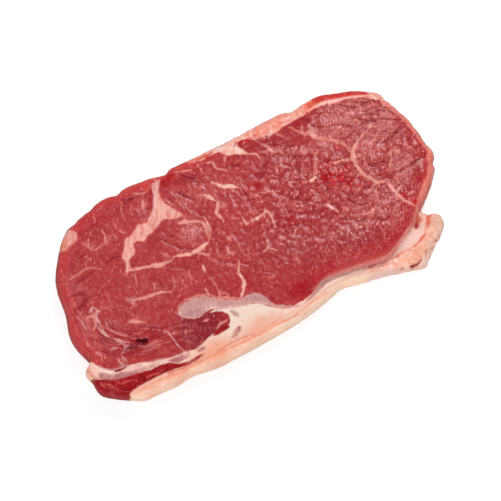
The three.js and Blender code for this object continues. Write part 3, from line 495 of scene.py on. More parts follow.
MERGE_WITHIN = 0.02 * MM      # the CAD's facets share their corners to within this
MELT_TIMES = 8                # rounds of smoothing that take the facets' edges off


def plain_mesh(draft):
    """The mesh that an object's modifiers give; the object itself goes."""
    mesh = bpy.data.meshes.new_from_object(draft.evaluated_get(bpy.context.evaluated_depsgraph_get()))
    draft.modifiers.clear()
    bpy.data.objects.remove(draft)
    return mesh


def melted_copy(node):
    """A closed, even quad mesh over a CAD solid, with its facets melted away."""
    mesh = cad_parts[node].data.copy()
    bm = bmesh.new()
    bm.from_mesh(mesh)
    bmesh.ops.remove_doubles(bm, verts=bm.verts, dist=MERGE_WITHIN)
    bm.to_mesh(mesh)
    bm.free()
    shell = bpy.data.objects.new("shell", mesh)
    scene.collection.objects.link(shell)
    remesh = shell.modifiers.new("even", "REMESH")
    remesh.mode = "VOXEL"
    remesh.voxel_size = MESH_STEP * MM
    soft = shell.modifiers.new("melt", "SMOOTH")
    soft.factor, soft.iterations = 0.5, MELT_TIMES
    return plain_mesh(shell)


def keep_field(mesh, name, values):
    """Stores one number, or one vector, for each point of a mesh."""
    kind, slot = ("FLOAT", "value") if values.ndim == 1 else ("FLOAT_VECTOR", "vector")
    attribute = mesh.attributes.new(name, kind, "POINT")
    attribute.data.foreach_set(slot, np.ascontiguousarray(values, np.float32).ravel())


THIN_END = 0.45               # a stroke's width at its ends, as a share of its width at the middle


def keep_strokes(mesh, name, at, strokes):
    """Stores the way to the nearest stroke with its length, and the stroke's half width (thin at
    the ends), strength and tone."""
    edge = np.full(len(at), FAR_OFF)
    way = np.full((len(at), 3), FAR_OFF)
    kind = np.zeros((len(at), 3))
    drawn = [(*kind_of, points) for kind_of, lines in strokes.items() for points in lines]
    for half, strength, tone, points in drawn:
        far, to, share = way_to_line(at, smooth_line(points))
        here = half * (THIN_END + (1 - THIN_END) * np.sin(np.pi * np.clip(share, 0, 1)) ** 0.6)
        nearer = far - here < edge
        edge[nearer] = (far - here)[nearer]
        way[nearer] = np.column_stack([to, far])[nearer]
        kind[nearer] = np.column_stack([here, np.full((len(at), 2), (strength, tone))])[nearer]
    keep_field(mesh, name + "_way", way)
    keep_field(mesh, name + "_kind", kind)


def waves(at, size, seed):
    """Slow, smooth noise from -1 to 1 in two directions, for lines that wander."""
    rng = np.random.default_rng(seed)
    out = np.zeros((len(at), 2))
    for _ in range(6):
        angle, phase = rng.uniform(0, 2 * math.pi, 2)
        run = (at @ [math.cos(angle), math.sin(angle)]) / size * rng.uniform(0.7, 1.4)
        out += np.stack([np.sin(run + phase), np.cos(run * 1.13 + phase)], 1)
    return out / 6


RIM_REACH = 12.0              # mm in from the side wall within which the rim's look changes
WALL_FROM, WALL_TO = 4, 17    # mm up, between the rounded lower and upper rims
WALL_SLOPE = 0.45             # a wall's normal has less than this share of up or down


def inset_from_wall(points, upright):
    """How far in from the nearest side wall each point lies, in mm, up to RIM_REACH."""
    high = points[:, 2]
    walls = np.nonzero((upright < WALL_SLOPE) & (high > WALL_FROM) & (high < WALL_TO))[0]
    tree = kdtree.KDTree(len(walls))
    for index in walls:
        tree.insert((points[index, 0], points[index, 1], 0), int(index))
    tree.balance()
    return np.array([min(RIM_REACH, tree.find((x, y, 0))[2]) for x, y, _ in points])


SWIRL_REACH = 6.5             # mm beside the guide line over which the swirl fades


def beside(at, guide):
    """Coordinates that run beside and along a guide line, in mm, and how near the line is."""
    line = smooth_line(guide)
    far, way, share = way_to_line(at, line)
    run = np.gradient(line, axis=0)
    here = run[np.clip((share * (len(line) - 1)).astype(int), 0, len(line) - 1)]
    side = np.sign(way[:, 0] * here[:, 1] - way[:, 1] * here[:, 0])
    length = np.linalg.norm(run, axis=1).sum()
    near = np.exp(-(far / SWIRL_REACH) ** 2) * np.sin(np.pi * share) ** 0.5
    return np.column_stack([far * side, share * length, near])


SEAM_LEAN = 4.0               # mm that the seams have wandered sideways at the underside
WALL_STRAY, WALL_RAG = 11.0, 3.0    # mm that edges on a wall stray, in long waves and in short ones
CORNER_FROM, CORNER_FULL = -62, -82    # mm east, where the left corner's near wall begins to stray

steak_mesh = melted_copy("steak")
points = np.empty(len(steak_mesh.vertices) * 3, np.float32)
steak_mesh.vertices.foreach_get("co", points)
points = points.reshape(-1, 3).astype(float) / MM
plan = points[:, :2]
upright = np.array([abs(normal.vector[2]) for normal in steak_mesh.vertex_normals])
depth_down = np.clip(1 - points[:, 2] / THICKNESS, 0, 1)
# The seams lean a little as they run down, so the lower face isn't a copy of the upper one.
at = plan + waves(plan, 14.0, 3) * (SEAM_LEAN * depth_down[:, None] ** 1.5)
# On the far walls the edges between fat and muscle stray sideways, and at the left corner of the near one.
sideways = waves(points[:, [0, 2]] * [1, 1.4], 9.0, 7)
ragged = waves(points[:, [0, 2]] * [1, 1.8], 3.2, 8)
stray = np.zeros_like(at)
stray[:, 0] = (sideways[:, 0] * WALL_STRAY + ragged[:, 0] * WALL_RAG) * np.clip(depth_down * 2.2, 0, 1)
far_at = plan + stray
corner = np.clip((CORNER_FROM - points[:, :1]) / (CORNER_FROM - CORNER_FULL), 0, 1)
near_at = plan + stray * (0.8 * corner)
for name, strokes in (("seam", SEAMS), ("film", FILMS_AND_GLINTS), ("crease", CREASES), ("streak", STREAKS),
                      ("mauve", MAUVES)):
    keep_strokes(steak_mesh, name, at, strokes)
keep_field(steak_mesh, "cap", depth_in(near_at, CAP))
keep_field(steak_mesh, "silver", np.maximum(depth_in(at, SILVER), depth_in(plan, SILVER_STRIP)))
keep_field(steak_mesh, "strip", depth_in(at, STRIP))
keep_field(steak_mesh, "side", np.maximum(depth_in(near_at, SIDE), depth_in(at, ISLAND)))
keep_field(steak_mesh, "wedge", np.maximum(depth_in(at, WEDGE), depth_in(plan, RIM_KNOB)))
keep_field(steak_mesh, "far_band", depth_in(far_at, FAR_BAND))
keep_field(steak_mesh, "far_strip", depth_in(far_at, FAR_STRIP))
for name, spots in SOFT_FIELDS.items():
    keep_field(steak_mesh, name, patches(at, spots))
keep_field(steak_mesh, "swirl", beside(at, SWIRL))
keep_field(steak_mesh, "upright", upright)
keep_field(steak_mesh, "inset", inset_from_wall(points, upright))


class Wire:
    """A value on its way through a node tree, which goes into a sum as a number does."""

    def __init__(self, tree, socket):
        self.tree, self.socket = tree, socket

    def feed(self, slot, value):
        if isinstance(value, Wire):
            self.tree.links.new(value.socket, slot)
        else:
            slot.default_value = value

    def maths(self, operation, *others):
        made = self.tree.nodes.new("ShaderNodeMath")
        made.operation = operation
        for slot, value in zip(made.inputs, (self, *others)):
            self.feed(slot, value)
        return Wire(self.tree, made.outputs[0])

    def __add__(self, other):
        return self.maths("ADD", other)

    def __sub__(self, other):
        return self.maths("SUBTRACT", other)

    def __rsub__(self, other):
        return (self * -1) + other

    def __mul__(self, other):
        return self.maths("MULTIPLY", other)

    __radd__, __rmul__ = __add__, __mul__

    def power(self, other):
        return self.maths("POWER", other)

    def most(self, other):
        return self.maths("MAXIMUM", other)

    def least(self, other):
        return self.maths("MINIMUM", other)

    def size(self):
        return self.maths("ABSOLUTE")

    def between(self, low, high, out_low=0.0, out_high=1.0):
        """out_low at low and out_high at high, with a soft step between them."""
        made = self.tree.nodes.new("ShaderNodeMapRange")
        made.interpolation_type = "SMOOTHSTEP"
        for slot, value in zip(made.inputs, (self, low, high, out_low, out_high)):
            self.feed(slot, value)
        return Wire(self.tree, made.outputs[0])


def srgb(red, green, blue):
    """A colour as it shows on a screen, 0 to 255, turned into the renderer's own numbers."""
    def line(v):
        v /= 255
        return v / 12.92 if v <= 0.04045 else ((v + 0.055) / 1.055) ** 2.4
    return (line(red), line(green), line(blue), 1.0)


class Painter:
    """Makes the sources and mixers of a node tree, in geometry or in a material."""

    def __init__(self, tree):
        self.tree = tree
        self.geometry = tree.bl_idname == "GeometryNodeTree"

    def node(self, kind, **settings):
        made = self.tree.nodes.new(kind)
        for key, value in settings.items():
            setattr(made, key, value)
        return made

    def field(self, name, vector=False):
        """A field that was stored on the mesh."""
        if self.geometry:
            made = self.node("GeometryNodeInputNamedAttribute",
                             data_type="FLOAT_VECTOR" if vector else "FLOAT")
            made.inputs["Name"].default_value = name
            return Wire(self.tree, made.outputs["Attribute"])
        made = self.node("ShaderNodeAttribute", attribute_name=name)
        return Wire(self.tree, made.outputs["Vector" if vector else "Fac"])

    def place(self):
        """Where a point of the steak is, in mm."""
        if self.geometry:
            where = self.node("GeometryNodeInputPosition").outputs[0]
        else:
            where = self.node("ShaderNodeTexCoord").outputs["Object"]
        return self.vector("SCALE", Wire(self.tree, where), Scale=1 / MM)

    def vector(self, operation, *values, **named):
        made = self.node("ShaderNodeVectorMath", operation=operation)
        out = Wire(self.tree, made.outputs["Value" if operation in ("LENGTH", "DOT_PRODUCT") else "Vector"])
        for slot, value in zip(made.inputs, values):
            out.feed(slot, value)
        for name, value in named.items():
            out.feed(made.inputs[name], value)
        return out

    def parts(self, vector):
        made = self.node("ShaderNodeSeparateXYZ")
        vector.feed(made.inputs[0], vector)
        return [Wire(self.tree, out) for out in made.outputs]

    def spread(self, place, size):
        """Coordinates whose unit is size mm."""
        return self.vector("SCALE", place, Scale=1 / size)

    def along_fibres(self, place, along, across, down=None):
        """Coordinates whose unit is along mm on the fibres' way, across mm and down mm."""
        turned = self.node("ShaderNodeVectorRotate", rotation_type="Z_AXIS")
        out = Wire(self.tree, turned.outputs[0])
        out.feed(turned.inputs["Vector"], place)
        turned.inputs["Angle"].default_value = math.atan2(FIBRE_WAY[0], FIBRE_WAY[1])
        return self.vector("DIVIDE", out, (across, along, down or across))

    def noise(self, place, detail=2.0, rough=0.5, distort=0.0, seed=0.0, output=0):
        """Cloudy noise around 0.5 with features about one unit wide."""
        made = self.node("ShaderNodeTexNoise", noise_dimensions="4D")
        out = Wire(self.tree, made.outputs[output])
        out.feed(made.inputs["Vector"], place)
        for name, value in (("W", seed), ("Scale", 1.0), ("Detail", detail), ("Roughness", rough),
                            ("Distortion", distort)):
            out.feed(made.inputs[name], value)
        return out

    def cloud(self, place, size, detail, seed):
        """Noise around 0 with features about size mm wide."""
        return self.noise(self.spread(place, size), detail=detail, seed=seed) - 0.5

    def push(self, place, size, amount, seed):
        """A vector of up to about amount mm that changes in waves of size mm."""
        push = self.noise(self.spread(place, size), detail=1.0, seed=seed, output=1)
        return self.vector("SCALE", self.vector("SUBTRACT", push, (0.5, 0.5, 0.5)), Scale=2.0 * amount)

    def bent(self, place, size, amount, seed):
        """The same place, pushed about by up to amount mm in waves of size mm."""
        return self.vector("ADD", place, self.push(place, size, amount, seed))

    def cells(self, place, feature="F1"):
        """What a pattern of cells about one unit wide gives."""
        made = self.node("ShaderNodeTexVoronoi", feature=feature)
        place.feed(made.inputs["Vector"], place)
        made.inputs["Scale"].default_value = 1.0
        return made.outputs

    def cell_edges(self, place):
        """The distance to the nearest edge between two cells."""
        return Wire(self.tree, self.cells(place, "DISTANCE_TO_EDGE")["Distance"])

    def cell_chance(self, place):
        """A number from 0 to 1 that is one and the same all over a cell."""
        return self.parts(Wire(self.tree, self.cells(place)["Color"]))[0]

    def flecks(self, place, share, size=0.45):
        """Spots in a share of the cells, 1 in their middle."""
        given = self.cells(place)
        far = Wire(self.tree, given["Distance"])
        chance, _, light = self.parts(Wire(self.tree, given["Color"]))
        return (chance + share).between(0.96, 1.04) * far.between(size, size * 0.3) * (light * 0.7 + 0.3)

    def mix(self, share, first, second):
        """A share of the second colour in the first. A colour is a wire, or red, green and blue as
        they show on a screen, from 0 to 255."""
        made = self.node("ShaderNodeMix", data_type="RGBA")
        out = Wire(self.tree, made.outputs[2])
        for slot, value in ((0, share), (6, first), (7, second)):
            out.feed(made.inputs[slot], srgb(*value) if isinstance(value, tuple) else value)
        return out

    def coats(self, colour, *coats):
        """Lays coats over a colour, one after another: the share that each covers, and its colour."""
        for share, coat in coats:
            colour = self.mix(share, colour, coat)
        return colour


class Hand:
    """Draws the strokes that were stored on the mesh, with a hand that wanders a little."""

    WANDER = 0.35             # mm, how far a line may stray

    def __init__(self, paint, place):
        self.paint = paint
        east, north, _ = paint.parts(paint.push(place, 3.4, self.WANDER * 1.5, 61.0))
        self.east, self.north = east, north
        self.uneven = paint.cloud(place, 2.2, 1.0, 62.0)
        self.swell = paint.cloud(place, 5.0, 1.0, 63.0)

    def stroke(self, name, soft, widen=0.0, ragged=1.0):
        """How much a kind of stroke covers (0 to 1), and its tone."""
        paint = self.paint
        east, north, far = paint.parts(paint.field(name + "_way", vector=True))
        half, strength, tone = paint.parts(paint.field(name + "_kind", vector=True))
        east, north = east + self.east, north + self.north
        # Between two strokes the way turns round, so the stored length keeps it from passing through 0.
        off = (east * east + north * north).power(0.5).most(far - 0.75 * MESH_STEP - self.WANDER * 0.5)
        reach = half * (0.9 + (self.uneven * 1.6 + self.swell * 1.8) * ragged) + widen
        shown = (reach - off).between(-soft, soft) * strength
        return shown * (0.95 + (self.uneven * 1.2 + self.swell * 1.4) * ragged).least(1.0), tone


BUNDLE_SEED, SWIRL_SEED = 5.0, 71.0


def bundles(paint, place):
    """The cut ends of the fibre bundles: distance from a bundle's edge, a chance of its own for each
    bundle, and where they show. Some are round pebbles and some long slabs, with broken grooves."""
    seed = BUNDLE_SEED
    round_place = paint.along_fibres(paint.bent(place, 4.0, 1.5, seed), 4.0, 4.8, 4.4)
    long_place = paint.along_fibres(paint.bent(place, 6.5, 4.0, seed + 3.0), 5.2, 10.5, 7.5)
    choice = paint.noise(paint.spread(place, 8.0), detail=1.0, seed=seed + 4.0) - paint.field("sheen") * 0.08
    gaps = paint.noise(paint.spread(place, 2.6), detail=1.0, seed=seed + 5.0).between(0.52, 0.68, 0.0, 0.22)
    pebbles = paint.cell_edges(round_place) + choice.between(0.47, 0.37, 0.0, 0.4) + gaps
    slabs = paint.cell_edges(long_place) * 1.5 + choice.between(0.45, 0.57, 0.0, 0.4) + gaps * 0.6
    coarse = pebbles.least(slabs)
    chance = (paint.cell_chance(round_place) * choice.between(0.37, 0.47)
              + paint.cell_chance(long_place) * choice.between(0.57, 0.45)).least(1.0)
    shown = paint.noise(paint.spread(place, 8.0), seed=seed + 2.0).between(0.3, 0.55, 0.45, 1.0)
    return coarse, chance, shown * paint.field("pebbled").least(1.0)


def swirl_lines(paint):
    """Waved lines that follow the swirl of the fibres, around 0, and where they show."""
    off, along, near = paint.parts(paint.field("swirl", vector=True))
    made = paint.node("ShaderNodeCombineXYZ")
    place = Wire(paint.tree, made.outputs[0])
    for slot, value in zip(made.inputs, (off * (1 / 1.5), along * (1 / 11.0))):
        place.feed(slot, value)
    return paint.noise(place, detail=2.0, distort=0.6, seed=SWIRL_SEED) - 0.5, near


def relief_tree():
    """Raises bundles, fat lumps and seams, and sinks creases, on the finished surface."""
    tree = bpy.data.node_groups.new("Flesh relief", "GeometryNodeTree")
    knobs = (("Bundle height", 0.95), ("Grain height", 0.3), ("Crease depth", 0.8), ("Seam height", 0.15),
             ("Fat lump height", 0.5), ("Strip height", 0.7), ("Swirl height", 1.5), ("Seed", 5.0))
    tree.interface.new_socket("Geometry", in_out="INPUT", socket_type="NodeSocketGeometry")
    for name, value in knobs:
        made = tree.interface.new_socket(name, in_out="INPUT", socket_type="NodeSocketFloat")
        made.default_value = value
    tree.interface.new_socket("Geometry", in_out="OUTPUT", socket_type="NodeSocketGeometry")
    paint = Painter(tree)
    entry, leave = paint.node("NodeGroupInput"), paint.node("NodeGroupOutput")
    knob = {name: Wire(tree, entry.outputs[name]) for name, _ in knobs}
    place = paint.place()
    hand = Hand(paint, place)
    field = paint.field
    _, _, z = paint.parts(place)

    side = field("side").between(-0.5, 0.5)
    fat = field("cap").most(field("wedge")).most(field("far_band")).between(-0.6, 0.6) * (1 - side)
    silver = field("silver").between(-0.6, 0.6)
    lean = 1 - fat.most(silver)

    coarse, chance, shown = bundles(paint, place)
    grain = paint.noise(paint.along_fibres(place, 3.0, 1.8), detail=2.0, seed=knob["Seed"]) - 0.5
    swirl, near = swirl_lines(paint)
    lean_height = ((coarse.between(0.0, 0.35) * (0.6 + chance * 0.7) - 0.6) * knob["Bundle height"] * shown
                   + grain * knob["Grain height"] * 2.0 + swirl * near * knob["Swirl height"])
    lumps = paint.cloud(place, 5.5, 3.0, knob["Seed"] + 2.0)
    strata = paint.noise(paint.vector("DIVIDE", place, (14.0, 14.0, 3.0)), detail=1.0,
                         seed=knob["Seed"] + 3.0) - 0.5
    wall = 1 - field("upright").between(0.3, 0.8)
    fat_height = (lumps * (1.6 + field("lumpy") * 4.5) + strata * wall) * knob["Fat lump height"]

    seams, _ = hand.stroke("seam", soft=0.7)
    films, _ = hand.stroke("film", soft=0.7)
    creases, deep = hand.stroke("crease", soft=0.75, widen=0.05)
    streaks, red = hand.stroke("streak", soft=0.9, ragged=0.6)
    height = (lean * lean_height + fat * fat_height + (seams + films) * knob["Seam height"]
              + field("strip").between(-0.2, 1.8) * knob["Strip height"]
              - silver * field("silver").between(0.0, 1.5) * 0.25
              - side * 0.3 * field("upright")
              - creases * knob["Crease depth"] * (1 - fat * 0.5) * (1 + deep * 2.0)
              - streaks * fat * (0.6 + red.between(0.2, 0.6) * 0.8))
    # The underside lies pressed flat on the plate.
    height = height * z.between(0.2, 2.5)

    normal = Wire(tree, paint.node("GeometryNodeInputNormal").outputs[0])
    moved = paint.node("GeometryNodeSetPosition")
    offset = paint.vector("SCALE", normal, Scale=height * MM)
    offset.feed(moved.inputs["Offset"], offset)
    tree.links.new(entry.outputs["Geometry"], moved.inputs["Geometry"])
    real = paint.node("GeometryNodeRealizeInstances")
    tree.links.new(moved.outputs[0], real.inputs[0])
    dressed = paint.node("GeometryNodeSetMaterial")
    tree.links.new(real.outputs[0], dressed.inputs[0])
    tree.links.new(dressed.outputs[0], leave.inputs[0])
    return tree, dressed


class Beef(Painter):
    """The patterns that the parts of raw beef share, and the colour of each part."""

    def __init__(self, tree):
        super().__init__(tree)
        spot = self.spot = self.place()
        self.hand = Hand(self, spot)
        # Unevenness around 0, in three sizes.
        self.tiny = self.cloud(spot, 0.7, 1.0, 11.0)
        self.small = self.cloud(spot, 2.2, 2.0, 12.0)
        self.broad = self.cloud(spot, 11.0, 2.0, 13.0)
        self.wobble = self.small * 1.0 + self.tiny * 0.8
        self.east, self.north, _ = self.parts(spot)
        self.wall = 1 - self.field("upright").between(0.35, 0.85)
        self.face = 1 - self.wall
        self.inset, self.cap = self.field("inset"), self.field("cap")
        self.warm, self.fat_skin = self.field("warm"), self.field("skin")
        self.sheen_field, self.flecked = self.field("sheen"), self.field("flecked")
        # The painted sheen: a pale reflection painted into the lean's colour, which also dulls the gloss.
        self.sheen = (self.sheen_field + self.broad * 0.5 + self.small * 0.6).between(0.1, 1.1)
        # Stretches of the rim: the far right end, and the near side up to it.
        self.far_right = (self.east + self.north * 0.4).between(58.0, 80.0)
        self.near_right = (self.east * 0.5 - self.north).between(36.0, 52.0) * (1 - self.far_right)
        skin_place = self.vector("DIVIDE", self.bent(spot, 3.0, 1.5, 24.0), (6.0, 6.0, 2.0))
        self.muscle_skin = self.noise(skin_place, detail=4.0, rough=0.65, seed=21.0)
        self.add_grain()
        # Strokes that also show in the side muscle or in the bump.
        self.creases, self.deep = self.hand.stroke("crease", soft=0.32, widen=0.2)
        self.seams, self.seam_tone = self.hand.stroke("seam", soft=0.42, widen=0.08)
        self.films, self.whiteness = self.hand.stroke("film", soft=0.4)

    def combed(self, size_along, size_across, seed, bend=None, down=None, detail=1.0):
        """Noise that is drawn out along the fibres; bend is the size, amount and seed of its waves."""
        bent = self.bent(self.spot, *bend) if bend else self.spot
        return self.noise(self.along_fibres(bent, size_along, size_across, down), detail=detail, seed=seed)

    def add_grain(self):
        """The bundles, their cut ends, the frost on them, and the mottled and flecked muscle; the frost and
        flecks are partly painted glints.
        """
        spot = self.spot
        self.coarse, self.chance, self.shown = bundles(self, spot)
        self.ends = self.combed(1.5, 0.7, 15.0, detail=1.5)
        self.frost_and_glints = self.combed(2.4, 0.65, 27.0, (3.0, 1.0, 26.0))
        self.mottle = self.noise(self.spread(self.bent(spot, 3.0, 0.8, 28.0), 2.0), detail=2.5, rough=0.6,
                                 seed=29.0)
        pebbled, flecked, sheen, broad = self.field("pebbled"), self.flecked, self.sheen_field, self.broad
        self.pale_zone = (pebbled * 0.6 + sheen * 0.4 + flecked * 0.6 + 0.25 + broad).between(0.0, 1.4)
        self.frost_glint_zone = (flecked * 0.9 + sheen * 0.6 + pebbled * 0.15 + broad * 1.2 + self.small * 0.6
                        ).between(0.15, 1.2) * self.face
        # Pale flecks along the fibres: partly marbling, partly painted glints of the wet surface.
        self.flecks_and_glints = self.flecks(self.along_fibres(self.bent(spot, 2.0, 0.5, 22.0), 2.2, 0.8),
                                        self.pale_zone * 0.4 + 0.04)

    def lean(self):
        """Mottled red, deep and wet in places, lifted in others by a pale sheen that is a painted
        reflection.
        """
        small = self.small
        lean = self.mix((self.broad * 1.8 + small * 0.7 + 0.5).between(0.0, 1.0), (156, 42, 49),
                        (173, 54, 58))
        # The first coat is painted sheen, a pale reflection painted on; the others are the meat's own darker
        # reds.
        return self.coats(lean, (self.sheen * 0.85, (208, 122, 120)),
                          ((self.field("dusky") + small * 0.6).between(0.0, 1.2) * 0.85, (123, 28, 40)),
                          (self.east.between(-5.0, 25.0) * 0.32, (140, 26, 36)))

    def rim_glow(self, lean):
        """The rim of the slab, where light comes through: a painted glow, lighter and redder at the edge and
        on its lip.
        """
        tiny, small, inset, far_right = self.tiny, self.small, self.inset, self.far_right
        rim_glow = (inset + small * 3.5 + tiny * 2.0 + self.broad * 7.0).between(0.5, 8.5, 1.0, 0.0)
        rim_glow_red = self.mix((self.east - self.north * 0.6).between(-50.0, 20.0), (216, 68, 66), (180, 34, 42))
        lip_glow = (inset - far_right * 1.7 + small * 1.6 + tiny * 1.2).between(0.3, 1.8, 1.0, 0.0)
        lip_glow_red = self.mix(far_right, (226, 92, 78), (250, 144, 126))
        near_lip_glow = (inset + tiny * 0.6).between(0.1, 1.1, 1.0, 0.0) * self.near_right
        # Painted glow of the light through the thin rim; at the near right the lip is partly a real pale
        # border.
        return self.coats(lean, (rim_glow * self.east.between(-60.0, -20.0, 0.56, 0.8), rim_glow_red),
                          (lip_glow * (0.6 + far_right * 0.35) * (1 - self.near_right), lip_glow_red),
                          (near_lip_glow * 0.3, (218, 124, 116)))

    def walls(self):
        """The muscle's own skin: duller at the left, pale and fatty at the far right."""
        skin = self.muscle_skin
        left_skin = self.mix((self.small * 1.5 + self.tiny + 0.5).between(0.2, 0.8), (162, 42, 50),
                             (196, 82, 82))
        right_skin = self.mix(skin.between(0.3, 0.7), (212, 92, 80), (234, 158, 138))
        return self.coats(self.mix(skin.between(0.35, 0.8), (184, 32, 36), (216, 92, 78)),
                          (skin.between(0.42, 0.25) * 0.6, (140, 10, 24)),
                          (self.east.between(-40.0, -70.0) * 0.6, left_skin),
                          (self.near_right * 0.6, (196, 62, 64)),
                          (self.far_right * 0.75, right_skin))

    def grain(self, lean):
        """Bundles with dark edges that are partly painted shade in their grooves, painted highlights on
        their tops, pale cut ends, frost and flecks that are partly painted glints, and thin pale and dark
        lines.
        """
        face, shown, small, coarse, mottle = self.face, self.shown, self.small, self.coarse, self.mottle
        # Painted highlight on the bundles' domed tops, stronger on some bundles than on others.
        dome_highlight = coarse.between(0.06, 0.3) * (0.15 + self.chance) * shown * face
        net = (self.combed(1.9, 1.2, 18.0, (2.5, 0.8, 17.0)) - 0.5).size()
        cuts = (self.combed(0.9, 2.6, 20.0, (2.0, 0.9, 19.0)) - 0.5).size()
        frost_and_glints = (self.frost_and_glints + small * 0.2).between(0.54, 0.66) * self.frost_glint_zone
        large_flecks_and_glints = self.flecks(self.along_fibres(self.bent(self.spot, 3.0, 1.2, 23.0), 3.4, 1.2),
                                   self.pale_zone * 0.16 + 0.03, size=0.3)
        return self.coats(lean, (mottle.between(0.45, 0.7) * 0.42 * face, (204, 98, 96)),
                          (mottle.between(0.5, 0.3) * 0.35 * face, (150, 28, 40)),
                          (dome_highlight * 0.4, (200, 86, 86)),
                          (net.between(0.035, 0.0) * self.pale_zone * 0.16, (212, 128, 124)),
                          (self.ends.between(0.5, 0.3) * 0.25 * face, (146, 22, 36)),
                          # Frost: pale marks along the fibres, partly painted glints, stronger where the
                          # sheen is painted.
                          (frost_and_glints * (self.sheen_field * 0.3 + 0.42).least(0.9), (230, 158, 155)),
                          (cuts.between(0.03, 0.0) * (shown * 0.6 + 0.15) * face, (136, 14, 30)),
                          # Dark grooves between the bundles: partly their own dark red, partly painted shade
                          # where the relief sinks them.
                          (coarse.between(0.075, 0.0) * shown * face * 0.9, (132, 6, 22)),
                          # Flecks: partly marbling, partly painted glints.
                          (self.flecks_and_glints * 0.85 * face, (228, 162, 156)),
                          (large_flecks_and_glints * 0.6 * face, (214, 132, 128)))

    def marks(self, lean):
        """Blood and clots, the lines of the swirl, and the creases, with painted shade in the troughs,
        creases and hole and painted highlight on the swirl's ridges.
        """
        bloody = (self.field("bloody") + self.small * 1.2).between(0.15, 1.05)
        clots = self.mix(self.small.between(-0.06, 0.06), (140, 0, 14), (190, 14, 28))
        blood_red = self.mix(self.east.between(18.0, 30.0), (160, 10, 26), clots)
        swirl, near = swirl_lines(self)
        return self.coats(lean, (bloody * 0.85 * self.face, blood_red),
                          # The swirl's lines: partly the fibres' own tone, partly painted shade in their
                          # troughs and painted highlight on their ridges.
                          (swirl.between(-0.01, -0.10) * near * 0.85, (140, 14, 28)),
                          (swirl.between(0.04, 0.13) * near * 0.6, (212, 128, 126)),
                          # Creases: partly their own dark red, partly painted shade in the sunken lines; the
                          # near-black in the hole is painted shade.
                          (self.creases * 0.95, (128, 6, 22)),
                          (self.creases * self.deep, (52, 0, 6)))

    def seam_fat(self, colour):
        """Pink where it is thin, cream where it is thick, with a feathered pink edge."""
        halo, _ = self.hand.stroke("seam", soft=1.2, widen=0.1, ragged=1.6)
        seam_fat = self.mix(self.seam_tone + self.small * 0.8, (214, 118, 112), (236, 184, 168))
        return self.coats(colour, (halo * 0.4, (206, 88, 86)), (self.seams * 0.9, seam_fat))

    def wedge_fat(self, colour):
        """Wedge and knob: pink fat, streaked along the fibres, with a combed edge."""
        wedge = self.field("wedge")
        threads = self.combed(6.0, 1.4, 31.0, (5.0, 2.0, 30.0), down=3.0, detail=2.0)
        comb = self.combed(3.5, 0.7, 32.0, (2.0, 0.5, 33.0)) - 0.5
        wedge_fat = self.mix(threads.between(0.3, 0.62), (214, 126, 116), (226, 166, 154))
        wedge_fat = self.mix(self.warm, wedge_fat, (228, 120, 92))
        return self.coats(colour, ((wedge + comb * 3.0 + 0.6).between(-0.7, 0.7) * 0.35, (214, 96, 92)),
                          ((wedge + self.wobble * 0.8 + comb * 1.7 - 0.1).between(-0.55, 0.55), wedge_fat))

    def far_band(self, colour):
        """Orange-pink fat along the far rim, with a strip of muscle outside it."""
        small, wobble = self.small, self.wobble
        band_fat = self.mix((small + self.broad + 0.5).between(0.2, 0.8), (224, 128, 112), (236, 176, 160))
        band_fat = self.coats(band_fat, (self.warm * 0.8, (228, 96, 64)),
                              ((self.fat_skin + small).between(0.1, 0.7), (236, 196, 184)))
        strip = self.mix((small + self.tiny + 0.5).between(0.2, 0.8), (184, 34, 36), (214, 74, 64))
        on_strip = (self.field("far_strip") + wobble * (1.0 + self.wall * 2.0)).between(-0.6, 0.6)
        return self.coats(colour, ((self.field("far_band") + wobble * 2.0).between(-0.5, 0.5), band_fat),
                          (on_strip, strip))

    def cap_fat(self, colour):
        """Cream cut face, yellower and stained on its outer wall, with pale skin on the flap, and painted
        light at the near right that lifts the shade where the fat meets the lean.
        """
        small, broad, wobble, cap = self.small, self.broad, self.wobble, self.cap
        lobes = self.cell_edges(self.bent(self.spread(self.spot, 3.0), 1.0, 0.2, 41.0))
        stain = self.noise(self.vector("DIVIDE", self.spot, (9.0, 9.0, 3.0)), detail=2.0, seed=42.0)
        cut_fat = self.mix((broad * 1.6 + small * 0.6 + self.north * 0.09 + 4.3).between(0.1, 0.9),
                           (226, 176, 155), (228, 206, 191))
        cut_fat = self.mix(lobes.between(0.12, 0.0) * 0.2, cut_fat, (230, 158, 138))
        outer_fat = self.mix(stain.between(0.45, 0.75), (252, 213, 189), (250, 186, 150))
        flap_fat = self.mix((broad * 2.0 + small * 1.5 + 0.5).between(0.1, 0.9), (218, 148, 122),
                            (232, 184, 160))
        fat = self.coats(cut_fat, ((self.wall + self.inset.between(3.0, 0.5) * 0.5).least(1.0), outer_fat),
                         ((self.warm + small * 0.8).between(0.0, 1.0) * 0.75, (232, 148, 118)),
                         (self.east.between(38.0, 62.0) * 0.75, flap_fat),
                         ((self.fat_skin + small * 0.8).between(0.1, 1.0) * 0.9, (232, 194, 184)),
                         # Painted light: the fat by the lean's edge at the near right whitened against the
                         # shade in the corner, partly its pale skin.
                         ((cap + wobble).between(3.0, 0.3) * self.near_right * 0.7, (255, 212, 202)))
        # A pale line on the lean's wall by the cap: partly a real pale border, partly painted light over the
        # shade in the corner.
        cap_lip_and_lift = (cap + wobble * 0.5).between(-1.8, -0.5) * self.near_right * self.wall
        return self.coats(colour, (cap_lip_and_lift * 0.5, (242, 158, 148)),
                          ((cap + wobble).between(-0.35, 0.35), fat))

